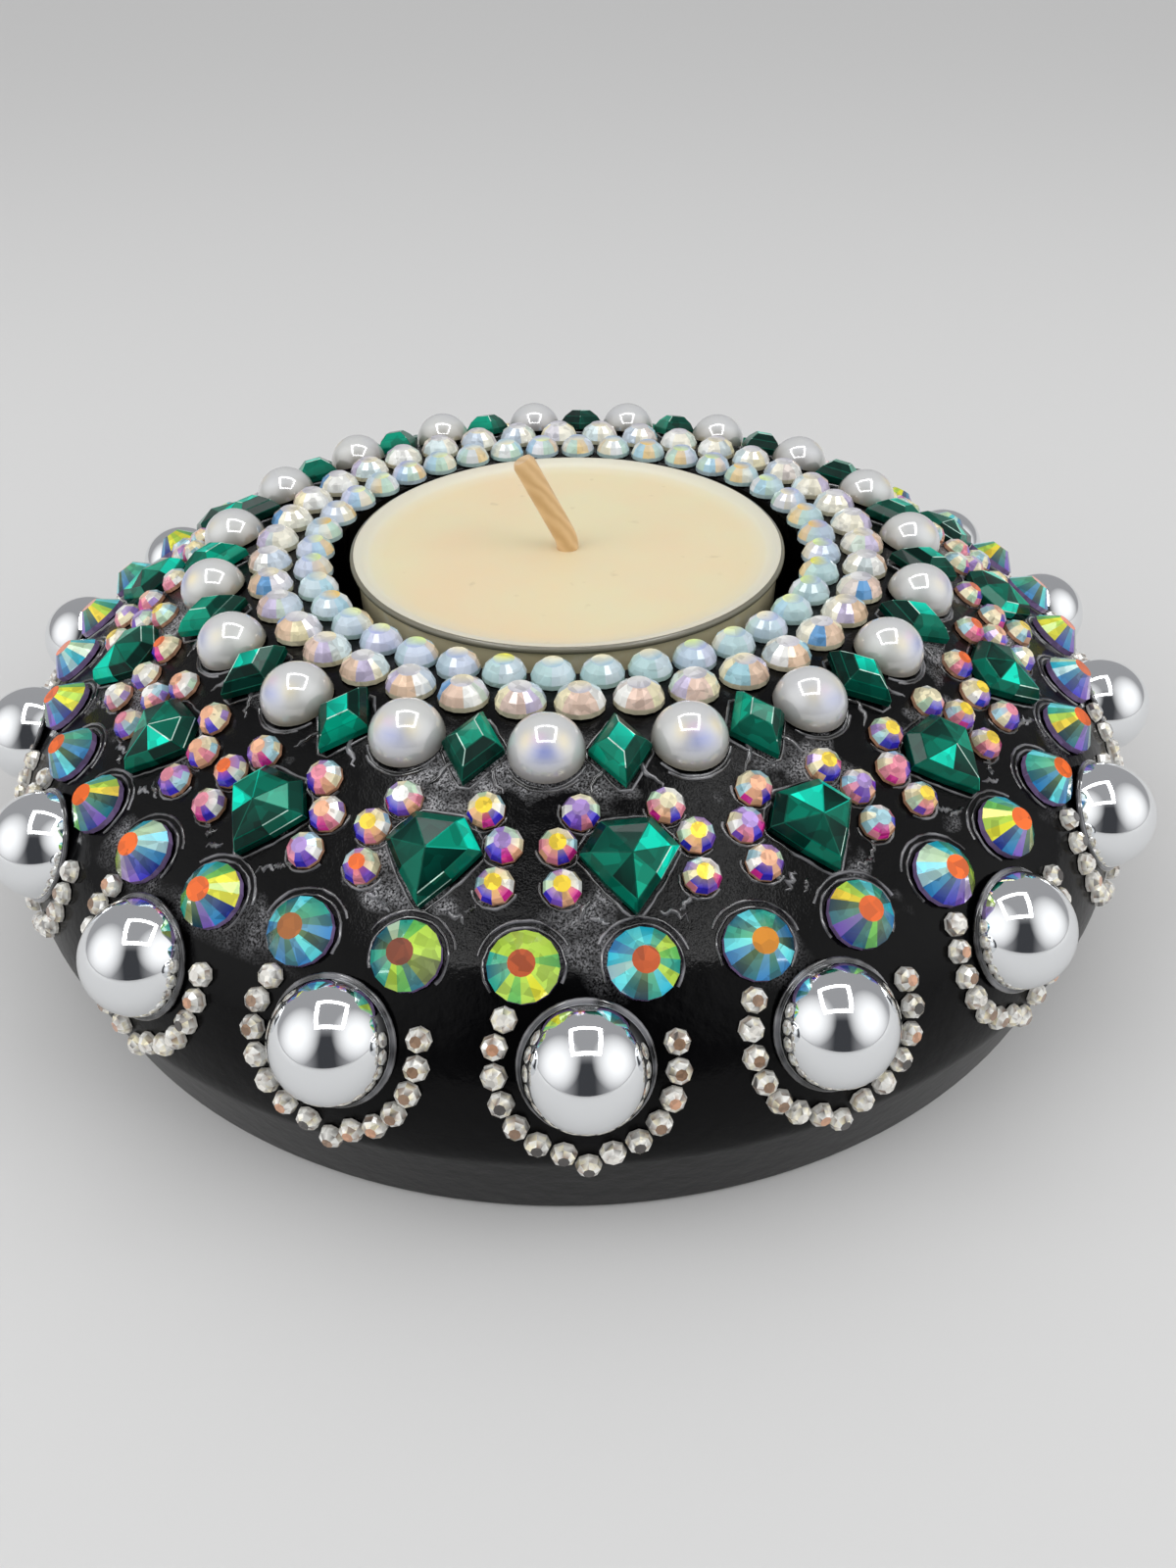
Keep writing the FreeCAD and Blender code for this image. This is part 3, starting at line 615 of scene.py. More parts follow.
def paint_large(number, angle):
    """Colours of a large stone: an orange table in a wheel of greens and blues, the coating's
    iridescence painted in as reflection, with painted light and shade on its inner and outer facets.
    """
    side = sin(radians(angle))
    # Painted reflection: the table rust in front and orange towards the sides of the holder
    table = blend(RUST, ORANGE, min(1, abs(side) * 1.5 + uniform(0, 0.15)))
    table = FRONT_TABLES.get(number, table)
    wheel = FRONT_WHEELS.get(number)
    start = 0
    if wheel is None:
        wheel = OTHER_WHEELS[number * 7 % len(OTHER_WHEELS)]
        start = uniform(-20, 20)
    # Painted reflection: the wheel turns mirrored on the right-hand stones, matching the view from the
    # front
    mirrored = side > 0 and number > 1

    def tint_and_painted_light(face, point):
        if is_table(face):
            return table
        if is_wall(face):
            return blend(LILAC, SMOKE, 0.5)
        turn = facet_angle(face) + start
        if mirrored:
            turn = 180 - turn
        colour = wheel[int(turn % 360 / 360 * len(wheel))]
        # Painted light and shade: inner facets lightened towards lime, outer ones darkened towards night
        # blue
        return blend(colour, LIME, 0.22) if is_inner(point, LARGE) else blend(colour, NIGHT, 0.12)

    return tint_and_painted_light


def paint_small(_):
    """Colours of a small stone: a warm table, with the coating's iridescence painted in as reflection,
    pale on the facets above it and deep on those below.
    """
    table = choice([GOLD, ORANGE, GOLD, LILAC, WHITE, GOLD, PINK, PALE_SKY, PEACH, CREAM])
    upper = [PALE_GREEN, CREAM, PALE_SKY, WHITE, LILAC, CREAM]
    lower = [VIOLET, ROYAL, MAGENTA, ROYAL, PINK, PEACH]
    sides = [PINK, PALE_SKY, CREAM, WHITE, PALE_GREEN, WHITE]
    shuffle(upper)
    shuffle(lower)
    shuffle(sides)

    def tint_and_painted_light(face, point):
        if is_table(face):
            return table
        if is_wall(face):
            return blend(PEACH, SMOKE, 0.3)
        step = int(facet_angle(face) / 36)
        # Painted reflection and shade: facets up the slope pale, facets down it deep, the others pastel
        if facet_rise(face) > 0.5:
            colour = upper[step % len(upper)]
        elif facet_rise(face) < -0.45:
            colour = lower[step % len(lower)]
        else:
            colour = sides[step % len(sides)]
        return blend(colour, table, 0.35) if is_inner(point, SMALL) else colour

    return tint_and_painted_light


def paint_opal(_):
    """Colours of a milky stone: pale blue, with a painted yellow highlight at its upper edge and painted
    light on its upper facets.
    """
    body = blend(screen(168, 198, 212), screen(172, 180, 222), random())
    painted_glint = choice([screen(222, 244, 150), CREAM, screen(250, 206, 96), FLASH,
                           screen(238, 246, 170)])
    sides = [PALE_GREEN, CREAM, WHITE, screen(250, 214, 132), PALE_SKY]
    shuffle(sides)

    def tint_and_painted_light(face, point):
        lift = point.y / (OPAL / 2 * MM)
        angle = facet_angle(face)
        # Painted highlight: the table turns from pale blue to yellow towards its upper edge
        if is_table(face):
            return blend(body, painted_glint, clamp(lift * 3))
        if is_wall(face):
            return blend(body, PALE_GREEN, 0.4)
        # Painted light: the crown's facets paler towards the upper part of the stone
        if facet_rise(face) > -0.1:
            return blend(body, sides[int(angle / 45) % len(sides)], 0.35 + 0.5 * max(0, lift))
        return blend(body, WHITE if angle > 270 else PALE_GREEN, 0.3)

    return tint_and_painted_light


def paint_clear(number):
    """Colours of a clear stone, all painted reflection: a beige front, blue and white beside it, bright
    cream above and a painted highlight on its table.
    """
    front = blend(screen(224, 192, 160), screen(226, 200, 190), random())
    table_highlight = WHITE if number % 3 else CREAM
    beside = [screen(104, 158, 208), WHITE, PALE_SKY, screen(196, 186, 214), CREAM]
    shuffle(beside)
    turned = uniform(-14, 14)

    def tint_and_painted_light(face, point):
        lift = point.y / (CLEAR / 2 * MM)
        angle = facet_angle(face)
        # Painted highlight: the table brightens to white or cream towards its upper edge
        if is_table(face):
            return blend(screen(204, 202, 212), table_highlight, clamp(lift * 2 + 0.3))
        if is_wall(face):
            return screen(222, 214, 186)
        # Painted reflection: beige on the outward facets, blue and white beside them, cream above
        away = abs((angle + turned) % 360 - 270)
        if away < 34:
            return front
        if away < 80:
            return beside[0] if angle > 270 else beside[1]
        if away < 130:
            return blend(CREAM, beside[2], 0.5)
        return blend(WHITE, beside[3] if angle < 90 else CREAM, 0.4)

    return tint_and_painted_light


def paint_halo(_):
    """Colours of a tiny clear stone, all painted reflection: brown or dark in the middle and bright
    round it, with painted sparkle on its facets.
    """
    table = choice([SMOKE, TAN, TAN, SILVER, blend(TAN, PEACH, 0.5)])

    def tint_and_painted_light(face, point):
        # Painted reflection: the table brown, dark or grey
        if is_table(face):
            return table
        if is_wall(face):
            return SILVER
        # Painted sparkle: mostly white facets, a few tan or dark
        painted_sparkle = choice([WHITE, WHITE, CREAM, WHITE, TAN, SMOKE])
        return blend(painted_sparkle, SILVER, uniform(0, 0.5))

    return tint_and_painted_light


def paint_kite(number):
    """Colours of a kite: painted light and shade of the green glass, deep and bright facets side by
    side, with a painted highlight on some edges.
    """
    crown = FRONT_KITES.get(number)
    if crown is None:
        crown = [FOREST, JADE, SLATE, DEEP, EMERALD, FOREST, EMERALD, TURQUOISE]
        shuffle(crown)
    rim = [FOREST, DEEP, EMERALD, FOREST, DEEP, EMERALD, TURQUOISE, EMERALD]
    shuffle(rim)

    def tint_and_painted_light(face, point):
        step = int((facet_angle(face) + 22.5) % 360 / 45)
        if face.area < LIT_EDGE:
            # Painted highlight: one edge in eight turquoise-white, the other edges shaded green
            painted_edge_highlight = (step + number) % 8 == 0 and face.area > LIT_TIP
            return blend(WHITE, TURQUOISE, 0.35) if painted_edge_highlight else blend(EMERALD, rim[step], 0.5)
        if is_wall(face):
            return blend(FOREST, rim[step], 0.4)
        if face.normal.z < 0.8:
            return rim[step]
        # Painted highlight: the facets at the peak lightened towards jade
        at_peak = point.z > KITE_HEIGHT * 0.9 * MM
        return blend(crown[step], JADE, 0.15) if at_peak else crown[step]

    return tint_and_painted_light


def paint_rhombus(number):
    """Colours of a rhombus: painted light and shade of the green glass, a bright table in deep walls,
    with a painted highlight on some edges.
    """
    table = choice([TURQUOISE, JADE, TURQUOISE, EMERALD])
    around = [EMERALD, DEEP, FOREST, JADE]
    shuffle(around)

    def tint_and_painted_light(face, point):
        step = int(facet_angle(face) / 90)
        if face.area < LIT_EDGE:
            # Painted highlight: every other upward edge turquoise-white
            painted_edge_highlight = face.normal.z > 0.8 and (step + number) % 2 == 0
            return blend(WHITE, TURQUOISE, 0.35) if painted_edge_highlight else blend(EMERALD, around[step], 0.5)
        if is_table(face):
            # Painted shade: the lower half of the table darker
            return blend(table, DEEP, 0.5) if point.y < 0 else table
        if is_wall(face):
            return blend(FOREST, around[step], 0.5)
        # Painted shade: the crown's facets darker near the wall
        at_wall = point.z < RHOMBUS_HEIGHT * 0.5 * MM
        return blend(around[step], FOREST, 0.3) if at_wall else around[step]

    return tint_and_painted_light


def spot_share(across, up, width, height):
    """Strength of a soft round spot at a distance from its middle, 1 in the middle."""
    return exp(-((across / width) ** 2 + (up / height) ** 2))


def paint_pearl(_):
    """Tints of a half pearl: light grey, with blue, rose and yellow patches of painted reflection, and a
    foot darkened to beige by painted shade.
    """
    blue = uniform(0.3, 0.95)

    def tint_and_painted_light(face, point):
        across, up, rise = (value / (PEARL / 2 * MM) for value in point)
        # Painted shade: darker and browner towards the foot
        tint = blend(screen(205, 206, 204), screen(126, 120, 102), clamp(1 - rise / 0.62))
        # Painted reflection: a blue patch low in the middle, yellow ones at the flanks, then a rose one
        tint = blend(tint, screen(112, 130, 214), blue * spot_share(across, up + 0.62, 0.38, 0.2))
        tint = blend(tint, screen(246, 226, 160),
                     0.8 * blue * spot_share(abs(across) - 0.46, up + 0.3, 0.16, 0.22))
        return blend(tint, screen(232, 170, 212),
                     0.6 * blue * spot_share(across + 0.14, up + 0.32, 0.2, 0.13))

    return tint_and_painted_light


# The casting and the glue on it

SHOULDER_STEPS, CREST_STEPS, CASTING_STEPS = 28, 16, 192
BASE_ARC_OUT = 0.16


def make_casting():
    """The resin casting, turned in one piece from its outline."""
    side = Vector((BASE_INSET, BELT_HEIGHT)).normalized()
    lean = degrees(atan2(side.x, side.y))
    base = BELT_RADIUS - BASE_INSET
    foot = BASE_ROUND * (1 - sin(radians(lean)))
    outline = [(0, 0), (base * 0.5, 0), (base - foot - BASE_ROUND * 0.4, 0)]
    outline += arc((base - BASE_ROUND + BASE_ARC_OUT, BASE_ROUND), BASE_ROUND, -90, -lean, 8)
    # The belt, rounded by three points
    outline += [(BELT_RADIUS - side.x * 0.7, BELT_HEIGHT - side.y * 0.7),
                (BELT_RADIUS - side.x * 0.25, BELT_HEIGHT - side.y * 0.3),
                (BELT_RADIUS - 0.03, BELT_HEIGHT + 0.05)]
    shoulder_start = CREST_PATH + FLANK_LENGTH
    shoulder = [dome_point(shoulder_start + SHOULDER_PATH * (1 - k / SHOULDER_STEPS))[:2]
                for k in range(SHOULDER_STEPS + 1)]
    outline += [point for point in shoulder if point[1] > BELT_HEIGHT + 0.3]
    outline += [dome_point(CREST_PATH * (1 - k / CREST_STEPS))[:2] for k in range(CREST_STEPS + 1)]
    outline += arc((WELL_RADIUS + LIP_ROUND, TOP_HEIGHT - LIP_ROUND), LIP_ROUND, 90, 180, 6)
    outline += [(WELL_RADIUS, FLOOR_HEIGHT), (0, FLOOR_HEIGHT)]
    dress(spin_outline("resin_casting", outline, CASTING_STEPS), black_resin(),
          "holder", "resin", "holder_body")


def glue_point(path, angle, along):
    """A point of a ridge's middle line, sunk a little into the dome."""
    return seat(path, angle, along, -RIDGE_SINK).to_translation()


def add_ridge(curve, points, closed=False):
    """One ridge of glue along the given points, uneven in thickness."""
    spline = curve.splines.new("POLY")
    spline.points.add(len(points) - 1)
    for spot, point in zip(spline.points, points):
        spot.co = (*point, 1)
        spot.radius = uniform(0.8, 1.1)
    spline.use_cyclic_u = closed
    return spline


def ring_ridge(curve, path, angle, reach, start, end, along=0.0):
    """A ridge round a stone at a distance from its centre, from one direction to another."""
    steps = max(6, int((end - start) / 9))
    wobble = [uniform(-0.04, 0.04) for _ in range(steps + 1)]
    points = []
    for k in range(steps + 1):
        turn = radians(start + (end - start) * k / steps)
        far = reach + wobble[k]
        points.append(glue_point(path - far * sin(turn), angle, along + far * cos(turn)))
    add_ridge(curve, points)


def outline_ridge(curve, path, angle, corners, offset):
    """A closed ridge that follows a cornered outline, an offset outside it."""
    points = []
    for k, corner in enumerate(corners):
        here, after = Vector(corner), Vector(corners[(k + 1) % len(corners)])
        along = (after - here).normalized()
        out = Vector((along.y, -along.x))
        if out.dot(here + after) < 0:
            out = -out
        for share in (0.08, 0.3, 0.5, 0.7, 0.92):
            spot = here.lerp(after, share) + out * (offset + uniform(-0.05, 0.05))
            points.append(glue_point(path - spot.y, angle, spot.x))
    add_ridge(curve, points, closed=True)


def drip_ridge(curve, path, angle, along, length, width, turn):
    """A short crooked drip of glue, thickest at its middle."""
    points = []
    for k in range(10):
        x = length * (k / 9 - 0.5) * uniform(0.9, 1.1)
        y = width * uniform(-0.6, 0.6)
        points.append(glue_point(path - x * sin(turn) - y * cos(turn), angle,
                                 along + x * cos(turn) - y * sin(turn)))
    drip = add_ridge(curve, points)
    for k, spot in enumerate(drip.points):
        spot.radius *= 0.5 + 1.2 * sin(pi * k / 9)


def glue_round_kite(curve, angle):
    """Ridges and drips of glue round a kite and its six small stones."""
    outline_ridge(curve, KITE_PATH, angle, KITE_CORNERS, KITE_RIDGE)
    for hand in (-1, 1):
        for step in range(3):
            length, width = uniform(0.8, 1.9), uniform(0.25, 0.6)
            drip_ridge(curve, KITE_PATH + 2.2 + step * 0.6, angle, hand * (4.3 - step * 0.9),
                       length, width, uniform(-0.9, 0.9))
        for x, y in small_spots():
            start = uniform(140, 230)
            ring_ridge(curve, KITE_PATH - y, angle, SMALL / 2 + SMALL_RIDGE, start, start + 150,
                       hand * x)


def make_glue(larges, pearls, rhombi, kites):
    """The ridges of clear glue that squeezed out round the stones."""
    curve = bpy.data.curves.new("glue_ridges", "CURVE")
    curve.dimensions = "3D"
    curve.bevel_depth = RIDGE_RADIUS * MM
    curve.bevel_resolution = 1
    curve.use_fill_caps = True
    for angle in larges:
        lift = uniform(-14, 14)
        ring_ridge(curve, LARGE_PATH, angle, LARGE / 2 + LARGE_RIDGE, lift - 30, lift + 210)
        ring_ridge(curve, LARGE_PATH, angle, LARGE / 2 + OUTER_LARGE_RIDGE, lift + 20, lift + 160)
    for angle in pearls:
        ring_ridge(curve, PEARL_PATH, angle, PEARL / 2 + PEARL_RIDGE, -150, -25)
        ring_ridge(curve, PEARL_PATH, angle, PEARL / 2 + OUTER_PEARL_RIDGE, -135, -45)
    for angle in rhombi:
        outline_ridge(curve, RHOMBUS_PATH, angle, RHOMBUS_CORNERS, RHOMBUS_RIDGE)
        edge_turn = atan2(RHOMBUS_LENGTH, RHOMBUS_WIDTH)
        for hand, turn in ((-1, edge_turn), (1, pi - edge_turn)):
            drip_ridge(curve, RHOMBUS_PATH + 1.9, angle, hand * 1.75, 3.2, 0.34, turn)
    for angle in kites:
        glue_round_kite(curve, angle)
    select_only(add_object("glue_ridges", curve))
    bpy.ops.object.convert(target="MESH")
    ridges = bpy.context.object
    smooth(ridges, 80)
    dress(ridges, clear_glue(), "holder", "resin")


# Stones

KITE_CORNERS = [
    (KITE_TOP_WIDTH / 2, KITE_LENGTH / 2), (-KITE_TOP_WIDTH / 2, KITE_LENGTH / 2),
    (-KITE_WIDTH / 2, KITE_SHOULDER),
    (-KITE_WIDTH * 0.27, -KITE_LENGTH * 0.17), (0, -KITE_LENGTH / 2),
    (KITE_WIDTH * 0.27, -KITE_LENGTH * 0.17),
    (KITE_WIDTH / 2, KITE_SHOULDER),
]
RHOMBUS_CORNERS = [
    (0, RHOMBUS_LENGTH / 2), (-RHOMBUS_WIDTH / 2, 0),
    (0, -RHOMBUS_LENGTH / 2), (RHOMBUS_WIDTH / 2, 0),
]


def cut_round(diameter, height, sides, table, swell=None):
    """Pattern of a round flat-back stone: a low wall and a crown of facets up to a table."""
    stone = add_piece("pattern", bpy.ops.mesh.primitive_circle_add, vertices=sides,
                      radius=diameter / 2 * MM, fill_type="NGON")
    bpy.ops.object.mode_set(mode="EDIT")
    raise_ring(height * 0.25)
    if swell:
        raise_ring(height * 0.42, swell)
        raise_ring(height * 0.33, table / swell)
    else:
        raise_ring(height * 0.75, table)
    bpy.ops.object.mode_set(mode="OBJECT")
    return stone


def cut_cornered(corners, height, peaked):
    """Pattern of a cornered stone: a wall, a ring of facets, and a peak or a table."""
    stone = add_piece("pattern", bpy.ops.mesh.primitive_circle_add, vertices=len(corners),
                      radius=MM, fill_type="NGON")
    for vertex, corner in zip(stone.data.vertices, corners):
        vertex.co = (corner[0] * MM, corner[1] * MM, 0)
    bpy.ops.object.mode_set(mode="EDIT")
    raise_ring(height * 0.3)
    if peaked:
        raise_ring(height * 0.34, 0.8)
        bpy.ops.mesh.poke(offset=height * 0.3 * MM)
    else:
        raise_ring(height * 0.35, 0.78)
        raise_ring(height * 0.3, 0.55)
    end_edit()
    edges = stone.modifiers.new("lit_edges", "BEVEL")
    edges.width = 0.045 * MM
    edges.segments = 1
    edges.limit_method = "ANGLE"
    edges.angle_limit = radians(6)
    bpy.ops.object.modifier_apply(modifier=edges.name)
    return stone


def half_ball(diameter, segments):
    """Pattern of a half-round cabochon."""
    ball = add_piece("pattern", bpy.ops.mesh.primitive_uv_sphere_add, segments=segments,
                     ring_count=segments // 2, radius=diameter / 2 * MM)
    bpy.ops.object.mode_set(mode="EDIT")
    bpy.ops.mesh.select_all(action="SELECT")
    bpy.ops.mesh.bisect(plane_co=(0, 0, 0), plane_no=(0, 0, 1), clear_inner=True, use_fill=True)
    bpy.ops.object.mode_set(mode="OBJECT")
    smooth(ball, 60)
    return ball


def small_spots():
    """Where the three small stones at one side of a kite lie, from the kite's middle."""
    corner = (KITE_TOP_WIDTH / 2 + SMALL_REACH * cos(SMALL_CORNER_ANGLE),
              KITE_LENGTH / 2 + SMALL_REACH * sin(SMALL_CORNER_ANGLE))
    beside = (KITE_WIDTH / 2 + SMALL_REACH * cos(SMALL_SIDE_ANGLE),
              KITE_SHOULDER + SMALL_REACH * sin(SMALL_SIDE_ANGLE))
    return [corner, beside, (beside[0], beside[1] - SMALL - SMALL_SPACING)]


def halo_spots():
    """Where the tiny stones round a mirror dome lie, from the dome's middle."""
    inner = DOME / 2 + HALO_GAP + HALO / 2

    def reach(angle):
        """Distance of the horseshoe from the dome's middle at an angle."""
        return inner + HALO_SAG * min(0, sin(angle)) ** 2

    down = -pi / 2
    low = asin(0.9 * HALO / reach(down))
    spots = [(0, -reach(down) * cos(low) - 0.6 * HALO)]
    for hand, count in ((-1, LEFT_HALO), (1, RIGHT_HALO)):
        angle = down + hand * low
        for _ in range(count):
            spots.append((reach(angle) * cos(angle), reach(angle) * sin(angle)))
            angle += hand * (HALO + HALO_SPACING) / reach(angle)
    return spots


def set_row(name, pattern, places, paint, material, slot, *nodes):
    """A row of stones in one piece, copied from a pattern that is then taken away."""
    stones = set_stones(name, pattern, places, paint)
    bpy.data.objects.remove(pattern)
    dress(stones, material, "holder", slot, *nodes)


def set_each(name, pattern, places, paint, material, slot, node):
    """A row of stones in a piece each, numbered like the CAD nodes that they stand for."""
    for number, place in enumerate(places):
        ending = f"_{number + 1:02d}"
        stone = set_stones(name + ending, pattern, [place], paint, number)
        dress(stone, material, "holder", slot, node + ending)
    bpy.data.objects.remove(pattern)


def make_round_rows(kites, larges, domes):
    """The rows of round stones, from the well outwards."""
    set_row("opal_stones", cut_round(OPAL, OPAL_HEIGHT, 16, 0.5, 0.84),
            [seat(OPAL_PATH, a) for a in ring_angles(EDGE, INNER_FIRST)], paint_opal,
            cut_crystal("milky_crystal", 0.9, 0.85, 1.12, 0.0, 0.3), "opal", "opal_row")
    set_row("clear_stones", cut_round(CLEAR, CLEAR_HEIGHT, 16, 0.46, 0.84),
            [seat(0, a) for a in ring_angles(EDGE, INNER_FIRST + 180 / EDGE)], paint_clear,
            cut_crystal("clear_crystal", 0.6, 0.75, 1.12), "clear_crystal", "clear_row")
    set_row("small_stones", cut_round(SMALL, SMALL_HEIGHT, 10, 0.45, 0.84),
            [seat(KITE_PATH - y, a, hand * x)
             for a in kites for hand in (-1, 1) for x, y in small_spots()], paint_small,
            cut_crystal("small_ab_crystal", 0.5, 0.65, 1.2), "small_crystal", "small_ab_stones")
    set_row("halo_stones", cut_round(HALO, HALO_HEIGHT, 8, 0.46, 0.86),
            [seat(DOME_PATH - y, a, x) for a in domes for x, y in halo_spots()], paint_halo,
            cut_crystal("halo_crystal", 0.4, 0.75, 1.2), "halo_crystal", "halo_crystals")
    set_row("large_stones", cut_round(LARGE, LARGE_HEIGHT, 16, 0.38),
            [seat(LARGE_PATH, a) for a in larges], lambda number: paint_large(number, larges[number]),
            cut_crystal("large_ab_crystal", 0.8, 0.65, 1.15, 0.05, 0.2, 0.6),
            "large_crystal", "large_ab_stones")


def make_green_stones(kites, rhombi):
    """The green kites, one piece each, and the rhombi between the pearls."""
    emerald = cut_crystal("emerald_glass", 1.1, 0.55, 1.2, 0.05, 0.2, 0.16, 0.06)
    set_each("kite_stone", cut_cornered(KITE_CORNERS, KITE_HEIGHT, peaked=True),
             [seat(KITE_PATH, a) for a in kites], paint_kite, emerald, "emerald", "emerald_kite")
    set_row("rhombus_stones", cut_cornered(RHOMBUS_CORNERS, RHOMBUS_HEIGHT, peaked=False),
            [seat(RHOMBUS_PATH, a) for a in rhombi], paint_rhombus, emerald, "emerald", "emerald_rhombi")


def make_cabochons(domes, pearls):
    """The mirror domes with their skirts of glue, and the half pearls."""
    places = [seat(DOME_PATH, a) for a in domes]
    set_each("mirror_dome", half_ball(DOME, 72), places, None,
             mirror_chrome(), "mirror_metal", "chrome_dome")
    skirt = add_piece("pattern", bpy.ops.mesh.primitive_torus_add, major_segments=48,
                      minor_segments=8, major_radius=(DOME / 2 + SKIRT_GAP) * MM,
                      minor_radius=SKIRT_RADIUS * MM)
    smooth(skirt, 80)
    set_row("glue_skirts", skirt, places, None, clear_glue(), "resin")
    set_row("half_pearls", half_ball(PEARL, 48), [seat(PEARL_PATH, a) for a in pearls],
            paint_pearl, pearl_lustre(), "pearl", "pearl_cabochons")


# The tealight

CUP_RADIUS = CUP_RIM / 2 - CUP_OVERHANG
CUP_FOOT = CUP_RADIUS - CUP_DRAFT
CUP_FLOOR = FLOOR_HEIGHT + CUP_WALL
TEALIGHT_STEPS = 128


def make_cup():
    """The thin cup with its rolled rim."""
    roll = CUP_RIM_HEIGHT / 2
    outline = [(0, FLOOR_HEIGHT), (CUP_FOOT - 0.5, FLOOR_HEIGHT),
               (CUP_FOOT - 0.15, FLOOR_HEIGHT + 0.15), (CUP_FOOT, FLOOR_HEIGHT + 0.5),
               (CUP_RADIUS, RIM_TOP - CUP_RIM_HEIGHT)]
    outline += arc((CUP_RIM / 2 - roll, RIM_TOP - roll), roll, -90, 90, 8)
    outline += [(CUP_RADIUS - CUP_WALL + 0.1, RIM_TOP), (CUP_RADIUS - CUP_WALL, RIM_TOP - 0.1),
                (CUP_FOOT - CUP_WALL, CUP_FLOOR), (0, CUP_FLOOR)]
    dress(spin_outline("clear_cup", outline, TEALIGHT_STEPS), clear_plastic(),
          "tealight", "cup_plastic", "tealight_cup")


def make_wax():
    """The wax: a little hollow round the wick, climbing the wall and lapping over the rim."""
    edge = CUP_RADIUS - CUP_WALL
    outline = [(0, WAX_TOP - 0.1), (WICK / 2, WAX_TOP - 0.06), (WICK / 2 + 0.9, WAX_TOP + 0.01),
               (edge * 0.5, WAX_TOP), (edge - 2.2, WAX_TOP + 0.02), (edge - 0.9, WAX_TOP + 0.16),
               (edge - 0.3, WAX_TOP + 0.42), (edge + 0.1, RIM_TOP + 0.02),
               (edge + 0.42, RIM_TOP + 0.05), (edge + 0.56, RIM_TOP + 0.03),
               (edge + 0.58, RIM_TOP - 0.02), (edge + 0.3, RIM_TOP - 0.1),
               (edge - 2 * WAX_FIT, RIM_TOP - 0.3),
               (CUP_FOOT - CUP_WALL - 2 * WAX_FIT, CUP_FLOOR + WAX_FIT), (0, CUP_FLOOR + WAX_FIT)]
    dress(spin_outline("wax_fill", outline, TEALIGHT_STEPS), candle_wax(),
          "tealight", "wax", "tealight_wax")


def make_wick():
    """The wick: upright in the wax, leaning above it, its tip drawn in a little."""
    wick = add_piece("cotton_wick", bpy.ops.mesh.primitive_circle_add, vertices=24,
                     radius=WICK / 2 * MM, location=(0, 0, CUP_FLOOR * MM), fill_type="NGON")
    bpy.ops.object.transform_apply(location=True)
    bpy.ops.object.mode_set(mode="EDIT")
    raise_ring(WAX_TOP - CUP_FLOOR)
    bpy.ops.mesh.spin(steps=8, angle=WICK_LEAN, center=(-WICK_BEND * MM, 0, WAX_TOP * MM),
                      axis=(0, 1, 0))
    lean = Vector((-sin(WICK_LEAN), 0, cos(WICK_LEAN))) * MM
    for share in (0.3, 0.35, 0.3, 0.05):
        bpy.ops.mesh.extrude_region_move(TRANSFORM_OT_translate={"value": lean * WICK_FREE * share})
    bpy.ops.transform.resize(value=(0.8, 0.8, 0.8))
    end_edit()
    smooth(wick, 50)
    dress(wick, waxed_cotton(), "tealight", "wick", "tealight_wick")


def plate_sustainer():
    """The CAD model's own sustainer, given its metal."""
    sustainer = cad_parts["wick_sustainer"]
    sustainer.data.materials.clear()
    sustainer.data.materials.append(tin_plate())


# The studio, with lengths in metres

# The lamps: a square of four bars overhead, and a window at each side
LAMP_CENTRE, LAMP_HALF, LAMP_BAR, LAMP_LEVEL = (0, -0.033, 0.19), 0.074, 0.02, 8
WINDOW_SIDE, WINDOW_FRONT, WINDOW_RISE = 0.36, -0.14, 0.26
WINDOW_WIDTH, WINDOW_HEIGHT, WINDOW_LEVEL = 0.33, 0.45, 1.6

# The room as it shows in gloss, and as it lights surfaces and stands behind the holder
GLOSS_ROOM, GLOSS_FRONT, GLOSS_WINDOW = (0.36, 0.36, 0.37), (0.05, 0.052, 0.058), (1.3, 1.3, 1.3)
OPEN_LIGHT, BACKDROP = (0.75, 0.75, 0.75), (0.52, 0.52, 0.52)
FLOOR_GREY, FLOOR_SIZE, FLOOR_DROP = (0.66, 0.66, 0.66, 1), 8, 0.02 * MM


def make_floor():
    """A plain pale floor."""
    floor = add_piece("floor", bpy.ops.mesh.primitive_plane_add, size=FLOOR_SIZE)
    floor.location.z = -FLOOR_DROP
    floor.data.materials.append(new_material("pale_floor", Base_Color=FLOOR_GREY, Roughness=0.9)[0])


def add_lamp(name, place, aim, width, height, level, in_gloss):
    """A rectangular lamp that lights surfaces, or else shows only in their gloss.

    Level 1 looks white.
    """
    lamp = bpy.data.lights.new(name, "AREA")
    lamp.shape = "RECTANGLE"
    lamp.size, lamp.size_y = width, height
    lamp.energy = level * pi * width * height
    thing = add_object(name, lamp)
    thing.location = place
    thing.rotation_euler = (Vector(aim) - Vector(place)).to_track_quat("-Z", "Y").to_euler()
    thing.visible_camera = False
    thing.visible_diffuse = not in_gloss
    thing.visible_glossy = in_gloss


